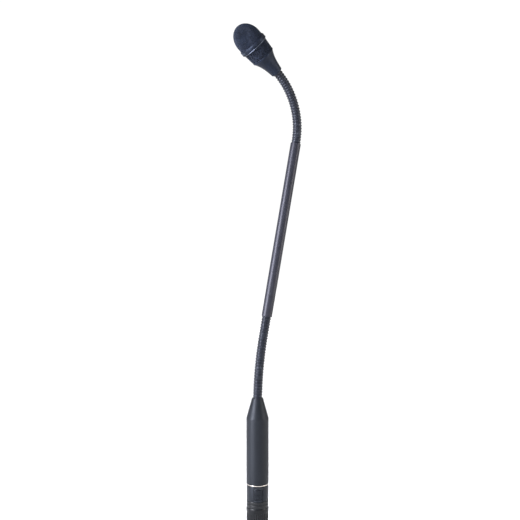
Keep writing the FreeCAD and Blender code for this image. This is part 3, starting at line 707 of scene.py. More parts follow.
@dataclass
class FlexibleSection:
    """A flexible neck: two wires wound together, cut into pieces.

    Sizes are in millimetres, and lengths of the curve in metres.

    Attributes:
        name: "lower" or "upper".
        curve: Its centreline.
        bodies: CAD bodies from below to above, one more than its joints.
        foot: How far it reaches into what holds it below.
        head: How far it reaches into what holds it above.
        settle: How far its middle lies towards the inside of the bend.
        radius: Outer radius of the winding.
        wire: Radius of the round wire that stands proud.
        pitch: Length of one turn.
        bore: Inner radius of the winding.
        sides: Facets round the neck.
        lead: Turns before its start, so that every cut goes through whole windings.
    """

    name: str
    curve: NeckCurve
    bodies: list[str]
    foot: float
    head: float
    settle: float = 0.0
    radius: float = 4.30
    wire: float = 0.82
    pitch: float = 2.55
    bore: float = 2.3
    sides: int = 44
    lead: float = 1.5

    def turn_profile(self) -> list[tuple[float, float]]:
        """Draw one turn of the winding, from groove to groove.

        Returns:
            Pairs of a share of the pitch and a radius.
        """
        middle, rows = self.radius - self.wire, []
        for angle in map(math.radians, ROUND_WIRE):
            rows.append(((self.wire + self.wire * math.sin(angle)) / self.pitch,
                         middle + self.wire * math.cos(angle)))
        flat = 2 * self.wire / self.pitch
        return rows + [(flat + (1 - flat) * part, self.radius - drop) for part, drop in FLAT_WIRE]

    def winding(self, start: float, end: float) -> bpy.types.Mesh:
        """Lay the skin of the winding; its rows follow the helix, so every groove is sharp.

        Args:
            start: Length of the curve where it begins.
            end: Length where it stops.

        Returns:
            The open skin.
        """
        turns = math.ceil((end - start) / (self.pitch * MM)) + 2
        rows = [(turn + share, radius) for turn in range(turns)
                for share, radius in self.turn_profile()]
        points = []
        for step in range(self.sides + 1):
            spin = step / self.sides
            for turn, radius in rows:
                along = start + (turn - self.lead + spin) * self.pitch * MM
                part = min(max(along / self.curve.length, 0.0), 1.0)
                point = self.curve.ring(along, radius * MM, [2 * math.pi * spin])[0]
                points.append(point - BACK * self.settle * MM * math.sin(math.pi * part))
        skin = bpy.data.meshes.new(self.name + "_winding")
        skin.from_pydata([tuple(point) for point in points], [],
                         grid_faces(self.sides + 1, len(rows), around=False))
        return skin

    def build(self) -> None:
        """Build the wound pieces and the cable inside, one across each joint."""
        joints = len(self.bodies) - 1
        step = self.curve.length / joints
        start, end = -self.foot * MM, self.curve.length + self.head * MM
        skin = self.winding(start, end)
        for number in range(joints):
            low = start if number == 0 else number * step
            high = end if number == joints - 1 else (number + 1) * step
            rest = (max(low, 0.0), min(high, self.curve.length))
            self.dress(self.cut_piece(skin, f"{self.name}_winding_{number + 1}", low, high),
                       number, rest, self.stood_for(number, joints))
            self.dress(self.cable_piece(number, low, high), number, rest,
                       ["signal_cable"])
        bpy.data.meshes.remove(skin)

    def stood_for(self, number: int, joints: int) -> list[str]:
        """CAD nodes that the piece across a joint stands for.

        Args:
            number: Number of the joint, from 0.
            joints: How many there are.

        Returns:
            Names of the nodes.
        """
        nodes = [f"{self.name}_foot_coil"] if number == 0 else []
        last = number == joints - 1
        return nodes + [f"{self.name}_end_coil" if last else f"{self.name}_link_{number + 1}"]

    def dress(self, piece: bpy.types.Object, number: int, rest: tuple[float, float],
              nodes: list[str]) -> None:
        """Fix a piece's placement and hide the CAD nodes that it stands for.

        Args:
            piece: The piece.
            number: Number of its joint, from 0.
            rest: Lengths of the curve at the piece's ends; not used beyond finding the points there.
            nodes: CAD nodes that it stands for.
        """
        start, end = (self.curve.at(length)[0] for length in rest)
        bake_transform(piece)
        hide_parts(*nodes)
        log.info("%s bends between %s and %s", piece.name, *self.bodies[number:number + 2])

    def cut_piece(self, skin: bpy.types.Mesh, name: str, low: float,
                  high: float) -> bpy.types.Object:
        """Cut a stretch out of the winding, square to the curve, and close it.

        Args:
            skin: The whole winding's skin.
            name: The piece's name.
            low: Length of the curve at its lower cut, in metres.
            high: Length at its upper cut.

        Returns:
            A closed piece with an inner wall.
        """
        wall_step, on_plane, near, crease = 1.2, 2e-6, 6 * MM, 50.0
        work = bmesh.new()
        work.from_mesh(skin)
        bmesh.ops.remove_doubles(work, verts=work.verts, dist=MERGE)
        for length, outward in ((low, -1), (high, 1)):
            middle, ahead = self.curve.at(length)
            bmesh.ops.bisect_plane(work, geom=work.verts[:] + work.edges[:] + work.faces[:],
                                   plane_co=middle, plane_no=ahead * outward, clear_outer=True,
                                   dist=MERGE / 10)
        angles = [2 * math.pi * side / self.sides for side in range(self.sides)]
        spans = max(2, round((high - low) / (wall_step * MM)))
        inner = [[work.verts.new(point) for point in
                  self.curve.ring(low + (high - low) * span / spans, self.bore * MM, angles)]
                 for span in range(spans + 1)]
        outer_edges = [edge for edge in work.edges if edge.is_boundary]
        for below, above in zip(inner, inner[1:]):
            for s in range(self.sides):
                t = (s + 1) % self.sides
                work.faces.new((below[s], above[s], above[t], below[t]))
        for ring, length in ((inner[0], low), (inner[-1], high)):
            middle, ahead = self.curve.at(length)
            rim = [edge for edge in outer_edges
                   if all(abs((vert.co - middle).dot(ahead)) < on_plane for vert in edge.verts)
                   and (edge.verts[0].co - middle).length < near]
            hole = [work.edges.get((ring[s - 1], ring[s])) for s in range(self.sides)]
            bmesh.ops.bridge_loops(work, edges=rim + hole)
        mesh = bpy.data.meshes.new(name)
        work.to_mesh(mesh)
        work.free()
        return finished(name, mesh, OXIDE_WIRE, crease)

    def cable_piece(self, number: int, low: float, high: float) -> bpy.types.Object:
        """Build the signal cable inside one piece of the winding.

        Args:
            number: Number of the joint, from 0.
            low: Length of the curve where it begins.
            high: Length where it stops.

        Returns:
            The stretch of cable.
        """
        span_length = 1.5
        spans = max(4, round((high - low) / (span_length * MM)))
        places = [self.curve.at(low + (high - low) * span / spans) for span in range(spans + 1)]
        points, faces = tube_along([middle for middle, _ in places], SIGNAL_CABLE * MM,
                                   CABLE_SIDES, [ahead.cross(SIDE) for _, ahead in places])
        return mesh_piece(f"signal_cable_{self.name}_{number + 1}", points, faces, JACKET)


@dataclass
class WovenWire:
    """Woven wire cloth laid over a turned form.

    Attributes:
        pitch: Distance between neighbouring wires, in millimetres.
        wire: Radius of a wire.
        sides: Facets of a wire.
        step: Length between points of a wire.
    """

    pitch: float = 0.92
    wire: float = 0.17
    sides: int = 5
    step: float = 0.23

    def strand(self, line: Callable[[float], tuple[Vector, Vector]], low: float, high: float,
               phase: float, wave: float, closed: bool = False
               ) -> tuple[list[Vector], list[tuple[int, ...]]]:
        """One wire that weaves over and under those that cross it.

        Args:
            line: Gives the point and the outward direction at a place of the wire.
            low: First place of the wire.
            high: Last place.
            phase: 0 or 1: whether it starts over or under.
            wave: Places between two crossings.
            closed: Whether the wire is a hoop.

        Returns:
            Points and faces of the wire.
        """
        count = max(6, round((high - low) / self.step))
        path, across = [], []
        for index in range(count + (0 if closed else 1)):
            place = low + (high - low) * index / count
            point, out = line(place)
            lift = self.wire * math.cos(math.pi * (place / wave + phase))
            path.append((point + out * lift) * MM)
            across.append(out)
        return tube_along(path, self.wire * MM, self.sides, across, closed)

    @staticmethod
    def gather(name: str, strands: Sequence[tuple[list, list]], place: Matrix,
               finish: Finish) -> bpy.types.Object:
        """Join wires into one piece and set it in place.

        Args:
            name: The piece's name.
            strands: Points and faces of each wire.
            place: Placement of the form they lie on.
            finish: Their material.

        Returns:
            The cloth.
        """
        crease = 60.0
        points: list[Vector] = []
        faces: list[tuple[int, ...]] = []
        for strand_points, strand_faces in strands:
            base = len(points)
            points += [place @ point for point in strand_points]
            faces += [tuple(base + corner for corner in face) for face in strand_faces]
        return mesh_piece(name, points, faces, finish, crease)


@dataclass
class Head:
    """The condenser head: bell, vent, collar, domed grille and what is inside.

    Heights are along the head's own axis, in millimetres from the small end of
    its bell.

    Attributes:
        bush_middle: Height of the middle of the bush, which fixes the axis.
        bell: Height of the bell.
        ring: Height of the bell's ring.
        vent: Height of the vent section above the ring.
        collar: Height of the collar.
        radius: Radius of the dome.
        dome: Height of the domed part.
        skirt: Height of the straight part under it.
        seam: Gap under the vent's wire and under the collar.
        seat: Height of the grille's foot above the vent.
    """

    bush_middle: float = 8.5
    bell: float = 19.3
    ring: float = 1.2
    vent: float = 10.2
    collar: float = 5.2
    radius: float = 12.5
    dome: float = 15.3
    skirt: float = 6.6
    seam: float = 0.1
    seat: float = 2.2
    place: Matrix = field(default_factory=Matrix)

    def __post_init__(self) -> None:
        """Find the head's axis from two of its CAD parts."""
        bush, capsule = centre("head_bush"), centre("capsule")
        along = (capsule - bush).normalized()
        self.place = axes_at(bush - along * self.bush_middle * MM, along)

    @property
    def foot(self) -> Vector:
        """The small end of the bell, in metres."""
        return self.place.translation

    @property
    def along(self) -> Vector:
        """The head's own axis."""
        return self.place.to_3x3() @ UP

    @property
    def vent_top(self) -> float:
        """Height of the vent's upper end."""
        return self.bell + self.ring + self.vent

    def build(self) -> None:
        """Build every part of the head."""
        self.build_bell()
        self.build_vent()
        self.build_collar()
        self.build_grille()
        self.build_foam()

    def build_bell(self) -> None:
        """The flared bell and its ring, turned from one outline."""
        rim, rim_height, steps = 5.5, 0.62, 18
        outer = [(4.75, 0.0), (5.0, 0.12), (rim, rim_height)]
        for step in range(1, steps + 1):
            part = step / steps
            outer.append((rim + 2.65 * part + 2.8 * part ** 3.1,
                          rim_height + (self.bell - rim_height) * part))
        top = self.bell + self.ring
        ring = rounded([(10.95, self.bell), (11.25, self.bell + 0.05), (11.25, top),
                        (10.0, top)], 0.18)[5:15]       # only its two outer corners
        outline = ([(4.42, 0.0)] + outer + ring
                   + [(10.0, top), (9.9, self.bell - 0.6), (6.5, self.bell - 6.8),
                      (5.2, 12.0), (5.2, 5.0), (4.42, 5.0)])
        piece = lathe("bell", outline, HEAD_ENAMEL, self.place)
        screw_hole(piece, "head_screw", self.foot, self.along, 0.97)
        attach(piece, "head", "head_enamel", "head_shell")

    def vent_radius(self, height: float) -> float:
        """Radius of the vent's wire at a height above the ring."""
        low, spread = 10.75, 1.1
        return low + spread * height / self.vent

    def build_vent(self) -> None:
        """Wire cloth round the vent: upright wires and hoops."""
        cloth = WovenWire(pitch=0.95, wire=0.2)
        mean = self.vent_radius(self.vent / 2)
        base = self.bell + self.ring + self.seam
        uprights = 2 * round(math.pi * mean / cloth.pitch)
        hoops = round(self.vent / cloth.pitch)
        gap = (self.vent - 2 * self.seam) / hoops
        strands = []
        for number in range(uprights):
            angle = 2 * math.pi * number / uprights
            out = Vector((math.cos(angle), math.sin(angle), 0.0))

            def upright(height: float, out: Vector = out) -> tuple[Vector, Vector]:
                """Point of an upright wire."""
                return out * self.vent_radius(height) + UP * (base + height), out
            strands.append(cloth.strand(upright, self.seam, self.vent - self.seam, number % 2,
                                        gap))
        for number in range(hoops):
            height = gap * (number + 0.5)
            size = self.vent_radius(height)

            def hoop(place: float, size: float = size, height: float = height
                     ) -> tuple[Vector, Vector]:
                """Point of a hoop."""
                out = Vector((math.cos(place / size), math.sin(place / size), 0.0))
                return out * size + UP * (base + height), out
            strands.append(cloth.strand(hoop, 0.0, 2 * math.pi * size, number % 2,
                                        2 * math.pi * size / uprights, closed=True))
        attach(cloth.gather("vent_cloth", strands, self.place, GRILLE_WIRE), "head",
               "grille_mesh", "vent_mesh")
        # A dark foam liner behind the vent wire is painted shade: it stands for the shade inside the head, so the
        # parts within do not show through.
        low, high = base + 0.3, base + self.vent - 0.4
        liner = [(8.75, low), (9.05, low), (10.05, high), (9.75, high)]
        attach(lathe("vent_shade_liner", liner, FOAM, self.place, 72), "head", "foam")

    def build_collar(self) -> None:
        """The collar that holds the grille, and the polished bead round it."""
        base = self.vent_top + self.seam
        seat, inner = base + 2.0, self.radius + 0.08
        outline = rounded([(11.5, base), (12.5, base), (13.0, base + 0.5), (13.0, base + 1.7),
                           (13.3, base + 2.0), (13.3, base + self.collar - 1.1),
                           (inner + 0.1, base + self.collar - 0.1),
                           (inner, base + self.collar - 0.2), (inner, seat), (11.5, seat)],
                          0.14)
        attach(lathe("collar", outline, HEAD_ENAMEL, self.place, FINE), "head", "head_enamel",
               "grille_collar")
        middle, thick, reach, root = base + 1.15, 0.34, 13.12, 13.02
        bead = [(reach + thick * math.cos(angle), middle + thick * math.sin(angle))
                for angle in map(math.radians, range(-90, 91, 15))]
        attach(lathe("collar_bead", bead + [(root, middle + thick), (root, middle - thick)],
                     POLISHED_BEAD, self.place, FINE), "head", "head_enamel", "grille_collar")

    def dome_point(self, run: float, angle: float) -> tuple[Vector, Vector]:
        """Point and outward direction of the dome at an arc length from its tip.

        Args:
            run: Arc length from the tip down the outside, in millimetres.
            angle: Direction round the axis.

        Returns:
            The point, in millimetres, and the outward direction.
        """
        inset, steps = 0.39, 48
        size, height = self.radius - inset, self.dome - inset
        walked, radius, rise = 0.0, 0.0, height
        for step in range(1, steps + 1):
            turn = math.pi / 2 * step / steps
            wide, tall = size * math.sin(turn), height * math.cos(turn)
            stride = math.hypot(wide - radius, tall - rise)
            if walked + stride >= run:
                part = (run - walked) / stride
                radius += (wide - radius) * part
                rise += (tall - rise) * part
                break
            walked += stride
            radius, rise = wide, tall
        else:
            rise = max(-self.skirt, -(run - walked))
        across = radius / size ** 2 if rise > 0 else 1.0
        out = Vector((across * math.cos(angle), across * math.sin(angle),
                      max(rise, 0.0) / height ** 2)).normalized()
        return (Vector((radius * math.cos(angle), radius * math.sin(angle),
                        self.vent_top + self.seat + self.skirt + rise)), out)

    def build_grille(self) -> None:
        """Wire cloth pressed into a dome, its wires square to each other at the tip."""
        cloth = WovenWire()
        reach, shortest = 26.6, 2.0
        half = int(reach / cloth.pitch)
        strands = []
        for number in range(-half, half + 1):
            aside = number * cloth.pitch
            length = math.sqrt(max(reach ** 2 - aside ** 2, 0.0))
            if length < shortest:
                continue
            for turned in (False, True):
                def wire(place: float, aside: float = aside, turned: bool = turned
                         ) -> tuple[Vector, Vector]:
                    """Point of a wire of the cloth."""
                    flat = (aside, place) if turned else (place, aside)
                    return self.dome_point(math.hypot(*flat), math.atan2(flat[1], flat[0]))
                strands.append(cloth.strand(wire, -length, length, (number + turned) % 2,
                                            cloth.pitch))
        attach(cloth.gather("grille_cloth", strands, self.place, GRILLE_WIRE), "head",
               "grille_mesh", "grille_dome")

    def build_foam(self) -> None:
        """The foam liner that shows dark between the wires."""
        base = self.vent_top + self.seat
        radius, height, wall, steps = 11.75, 14.5, 1.4, 24
        outer, inner = ([(size * math.cos(turn), base + self.skirt + rise * math.sin(turn))
                         for turn in (math.pi / 2 * step / steps for step in range(steps + 1))]
                        for size, rise in ((radius, height), (radius - wall, height - wall)))
        outline = [(radius - wall, base), (radius, base)] + outer + inner[::-1]
        attach(lathe("foam_liner", outline, FOAM, self.place, 72), "head", "foam",
               "grille_foam")


@dataclass
class Tube:
    """The plain drawn tube between the two flexible necks.

    Attributes:
        length: Its length in millimetres.
        wall: Thickness of its wall.
        grip: How far the necks reach into it.
        radius: Outer radius, which the frame gives.
    """

    length: float = 162.0
    wall: float = 0.41
    grip: float = 11.0
    radius: float = 0.0
    place: Matrix = field(default_factory=Matrix)

    def __post_init__(self) -> None:
        """Find the tube's axis from the last joint below it."""
        last = next(item for item in frame["joints"] if item["name"] == "lower_side_4")
        _, cos, sin = last["axis"]
        along = Vector((0.0, -sin, cos)).normalized()
        self.place = axes_at(centre("centre_tube") - along * self.length / 2 * MM, along)
        self.radius = half_width("centre_tube")

    @property
    def along(self) -> Vector:
        """Direction of the tube, upwards."""
        return self.place.to_3x3() @ UP

    @property
    def foot(self) -> Vector:
        """Lower end of the tube."""
        return self.place.translation

    @property
    def top(self) -> Vector:
        """Upper end of the tube."""
        return self.foot + self.along * self.length * MM

    def build(self) -> None:
        """Build the tube and the cable inside it."""
        bore = self.radius - self.wall
        outline = rounded([(bore, 0.0), (self.radius, 0.0), (self.radius, self.length),
                           (bore, self.length)], 0.19)
        attach(lathe("drawn_tube", outline, TUBE_COAT, self.place), "tube", "tube_enamel",
               "centre_tube")
        straight_cable("signal_cable_in_tube", self.foot + self.along * self.grip * MM,
                       self.top - self.along * self.grip * MM, 12, "tube")


@dataclass
class Barrel:
    """The barrel of the preamplifier and the silver plug shell in its end.

    Attributes:
        cone: Length of its cone, in millimetres.
        mouth: Outer radius at the top of the cone.
        neck: Radius of the hole that the neck comes out of.
        radius: Radius of the barrel, which the frame gives, as it does its ends.
        base: Height of its lower end.
        top: Height of its upper end.
    """

    cone: float = 18.0
    mouth: float = 4.98
    neck: float = 4.52
    radius: float = 0.0
    base: float = 0.0
    top: float = 0.0

    def __post_init__(self) -> None:
        """Take the barrel's radius and ends from the frame."""
        self.radius = half_width("barrel_shell")
        self.base, self.top = heights("barrel_shell")

    def build(self) -> None:
        """Build the barrel, the plug shell and the cable's lower end."""
        shoulder, seat, clamp = self.top - self.cone, self.top - 13.0, 5.97
        outline = rounded([
            (8.8, self.base), (self.radius, self.base), (self.radius, shoulder),
            (self.mouth, self.top), (self.neck, self.top), (self.neck, seat), (clamp, seat),
            (clamp, self.base + 50.0), (8.8, self.base + 50.0)], 0.3)
        levels = [centre(node).z / MM for node in ("lock_screw", "neck_set_screw")]
        outline = with_rows(outline, self.radius, [level + beside for level in levels
                                                   for beside in (-2.8, -1.9, 1.9, 2.8)])
        piece = lathe("barrel", outline, BARREL_COAT, segments=FINE)
        screw_hole(piece, "neck_set_screw", Vector(), UP, 1.57)
        screw_hole(piece, "lock_screw", Vector(), UP, 1.07)
        attach(piece, "barrel", "barrel_enamel", "barrel_shell")
        (face, end), flange = heights("plug_shell"), half_width("plug_shell")
        inner, outer = 8.1, 8.7
        outline = rounded([(inner, face), (flange, face), (flange, face + 0.88),
                           (outer, face + 0.88), (outer, end), (inner, end)], 0.16)
        piece = lathe("plug_ring", outline, NICKEL, segments=FINE)
        screw_hole(piece, "lock_screw", Vector(), UP, 1.07)
        attach(piece, "barrel", "nickel", "plug_shell")
        straight_cable("signal_cable_in_barrel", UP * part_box("signal_cable")[0].z,
                       UP * (self.top - LOWER_FOOT) * MM, 4, "barrel")


@dataclass
class CableConnector:
    """The connector on the cable: housing, latch, rings and the fluted boot.

    Attributes:
        nose: Radius of the nose that enters the barrel, in millimetres.
        bore: Inner radius of the nose.
        turn: Direction of the latch about the axis, in degrees.
        latch_half: Half the latch's width.
        latch_pad: Height of its thumb pad.
        latch_gap: Gap round it.
        flutes: Grip flutes round the boot.
        flute_depth: Depth of a flute.
        radius: Radius of the housing, which the frame gives.
    """

    nose: float = 8.02
    bore: float = 7.0
    turn: float = -25.0
    latch_half: float = 3.8
    latch_pad: float = 9.1
    latch_gap: float = 0.2
    flutes: int = 28
    flute_depth: float = 0.42
    radius: float = 0.0

    def __post_init__(self) -> None:
        """Take the housing's radius from the frame."""
        self.radius = half_width("connector_housing")

    @property
    def spin(self) -> Matrix:
        """Turn from the X axis to the latch."""
        return Matrix.Rotation(math.radians(self.turn), 4, "Z")

    def build(self) -> None:
        """Build every outer part of the connector."""
        self.build_housing()
        self.build_latch()
        self.build_spring()
        self.build_rings()
        self.build_boot()

    def wedge(self, name: str, inner: float, outer: float, low: float, high: float,
              half: float) -> bpy.types.Object:
        """Make a block in the latch's direction, to cut with; sizes are in millimetres.

        Args:
            name: The block's name.
            inner: Distance of its inner face from the axis.
            outer: Distance of its outer face.
            low: Height of its lower end.
            high: Height of its upper end.
            half: Half its width.

        Returns:
            The block.
        """
        corners = [self.spin @ (Vector((r, w, h)) * MM) for r in (inner, outer)
                   for w in (-half, half) for h in (low, high)]
        faces = [(0, 1, 3, 2), (4, 6, 7, 5), (0, 4, 5, 1), (2, 3, 7, 6), (0, 2, 6, 4),
                 (1, 5, 7, 3)]
        return mesh_piece(name, corners, faces, CONNECTOR_COAT)

    def build_housing(self) -> None:
        """The die-cast housing with the window for its latch."""
        base, top = heights("connector_housing")
        shoulder, recess, floor, inside = top - 13.4, 8.2, base + 1.7, 5.4
        outline = rounded([
            (recess, base), (self.radius, base), (self.radius, shoulder), (self.nose, shoulder),
            (self.nose, top), (self.bore, top), (self.bore, floor), (recess, floor)], 0.3)
        piece = lathe("housing", outline, CONNECTOR_COAT, segments=FINE)
        low, high = heights("latch_tab")
        pad, gap, half = low + self.latch_pad, self.latch_gap, self.latch_half + self.latch_gap
        carve(piece, self.wedge("window", inside, self.radius + 1, low - gap, pad + gap, half))
        carve(piece, self.wedge("slot", inside, self.nose + 0.1, pad, high + gap, half))
        attach(piece, "connector", "connector_enamel", "connector_housing")

    def build_latch(self) -> None:
        """The latch: a ridged thumb pad and the tongue that runs up from it."""
        low, high = heights("latch_tab")
        pad = low + self.latch_pad
        across, rows, back, crease = 16, 40, 7.32, 30.0
        points = []
        for face in (0, 1):
            for row in range(rows + 1):
                height = low + (high - low) * row / rows
                if abs(height - pad) < 0.24:
                    height = pad
                for column in range(across + 1):
                    aside = self.latch_half * (2 * column / across - 1)
                    reach = self.latch_reach(height, aside, low, pad) if face else back
                    points.append(self.spin @ (Vector((reach, aside, height)) * MM))
        width = across + 1
        layer = width * (rows + 1)
        sheet = grid_faces(rows + 1, width, around=False)
        faces = sheet + [tuple(layer + corner for corner in face[::-1]) for face in sheet]
        rim = [(a, a + width) for row in range(rows) for a in (row * width, row * width + across)]
        rim += [(a, a + 1) for column in range(across) for a in (column, rows * width + column)]
        faces += [(a, b, layer + b, layer + a) for a, b in rim]
        piece = mesh_piece("latch", points, faces, CONNECTOR_COAT, crease)
        attach(piece, "latch", "connector_enamel", "latch_tab")

    def build_spring(self) -> None:
        """The leaf spring behind the latch, built at rest; it is not made to bend as the latch is pressed."""
        level, spin = heights("connector_housing")[0], self.spin
        foot, tip, half, thick, bow, steps = (6.0, 12.6), (7.12, 8.35), 1.5, 0.1, 0.12, 12
        points = []
        for step in range(steps + 1):
            part = step / steps
            reach = foot[0] + (tip[0] - foot[0]) * part + bow * math.sin(math.pi * part)
            height = level + foot[1] + (tip[1] - foot[1]) * part
            points += [spin @ (Vector((reach + deep, aside, height)) * MM)
                       for deep, aside in ((-thick, -half), (thick, -half), (thick, half),
                                           (-thick, half))]
        faces = grid_faces(steps + 1, 4)
        faces += [(3, 2, 1, 0), tuple(4 * steps + corner for corner in range(4))]
        piece = mesh_piece("leaf_spring", points, faces, PLATED_STEEL)
        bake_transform(piece)
        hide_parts("latch_spring")

    def latch_reach(self, height: float, aside: float, low: float, pad: float) -> float:
        """Find how far the latch's face stands from the axis, in millimetres.

        Args:
            height: Height of the place on it.
            aside: How far that is from its middle line.
            low: Height of the latch's lower end.
            pad: Height where its thumb pad ends.

        Returns:
            The distance from the axis.
        """
        tongue, sink, border, ridge, depth = 7.95, 0.04, 0.5, 1.2, 0.22
        if height > pad:
            return math.sqrt(tongue ** 2 - aside ** 2)
        flush = math.sqrt((self.radius - sink) ** 2 - aside ** 2)
        edge = min(height - low, pad - height, self.latch_half - abs(aside))
        soft = max(0.0, 1.0 - edge / border) ** 2 * 0.3
        if self.latch_half - abs(aside) > 0.9 and low + 1.4 < height < low + 6.2:
            soft += depth * max(0.0, math.cos(2 * math.pi * (height - low) / ridge))
        return flush - soft

    def build_rings(self) -> None:
        """The coding ring and the bushing nut's collar."""
        size, bore, skirt, thread, edge = self.radius, 6.0, 7.0, 8.1, 0.4
        low, high = heights("coding_ring")
        outline = rounded([(8.2, low), (size, low), (size, high), (8.2, high)], edge)
        attach(lathe("coding_band", outline, NYLON, segments=FINE), "connector", "ring_plastic",
               "coding_ring")
        low, high = heights("bushing_nut")
        collar = heights("boot")[1] + 0.12
        rim = collar + 3.2
        outline = rounded([(bore, low), (skirt, low), (skirt, collar), (size, collar),
                           (size, rim), (thread, rim), (thread, high), (bore, high)], edge)
        attach(lathe("bushing", outline, NYLON, segments=FINE), "connector", "ring_plastic",
               "bushing_nut")

    def build_boot(self) -> None:
        """The rubber boot, with grip flutes that run out under its rim."""
        top, bulge = heights("boot")[1], half_width("boot")
        flare, mouth, edge, taper, neck = 0.24, 5.3, 0.3, 13.0, top - 5.1
        grip, tapered = bulge - flare, edge + taper
        outer = [(3.3, 0.0), (5.0, 0.0), (mouth, edge)]
        for part in (step / 18 for step in range(1, 19)):
            outer.append((mouth + (grip - mouth) * math.sin(part * math.pi / 2) ** 0.9,
                          edge + taper * part))
        outer += [(grip, tapered + (neck - tapered) * step / 24) for step in range(1, 25)]
        for part in (step / 12 for step in range(1, 13)):
            outer.append((grip + flare * math.sin(part * math.pi / 2) ** 2, neck + 3.6 * part))
        outer += [(bulge, top - 0.9), (bulge - 0.07, top - 0.35), (bulge - 0.25, top)]
        outline = outer + [(7.06, top), (7.06, 12.0), (3.3, 12.0)]

        def flute(angle: float, height: float) -> float:
            """Change of radius where a flute is pressed into the grip.

            Args:
                angle: Direction round the axis, in radians.
                height: Height in millimetres.

            Returns:
                The change, in millimetres.
            """
            fade = min(1.0, max(0.0, (top - 3.9 - height) / 1.4))
            fade *= min(1.0, max(0.0, (height - 3.0) / 4.0))
            wave = 0.5 - 0.5 * math.cos(angle * self.flutes)
            return -self.flute_depth * fade * wave ** 1.5

        piece = lathe("boot_grip", outline, BOOT_RUBBER, segments=self.flutes * 12,
                      swell=lambda angle, height: flute(angle, height) if height > edge else 0.0)
        attach(piece, "connector", "boot_rubber", "boot")


# ---------------------------------------------------------------- carried CAD nodes

CAD_FINISHES: dict[str, Finish] = {
    "nickel": NICKEL, "contact_gold": GOLD, "insert_plastic": NYLON, "spring_steel": PLATED_STEEL,
    "brass": BRASS, "board": SOLDER_RESIST, "chip_plastic": EPOXY, "can_metal": ALUMINIUM_CAN,
    "holder_rubber": SILICONE, "lead_jacket": LEAD_JACKET, "vent_plastic": VENT_PLASTIC,
    "cable_jacket": JACKET, "foam": FOAM, "boot_rubber": BOOT_RUBBER, "ring_plastic": NYLON,
    "barrel_enamel": BARREL_COAT, "tube_enamel": TUBE_COAT, "flex_steel": OXIDE_WIRE,
    "head_enamel": HEAD_ENAMEL, "grille_mesh": GRILLE_WIRE, "connector_enamel": CONNECTOR_COAT,
}
CAD_CREASE = math.radians(35)       # edges sharper than this stay sharp


def dress_cad_nodes() -> None:
    """Give every CAD node the finish of its material slot."""
    slots = {row["node"]: row["material_slot"] for row in frame["record"]["subparts"]}
    for name, node in frame["nodes"].items():
        material = CAD_FINISHES[slots[name]].make()
        if not node.material_slots:
            node.data.materials.append(material)
        for entry in node.material_slots:
            entry.material = material
        node.data.shade_smooth()
        node.data.set_sharp_from_angle(angle=CAD_CREASE)


# ---------------------------------------------------------------- studio

MIDDLE = 0.24                       # height that the lights are aimed at, in metres


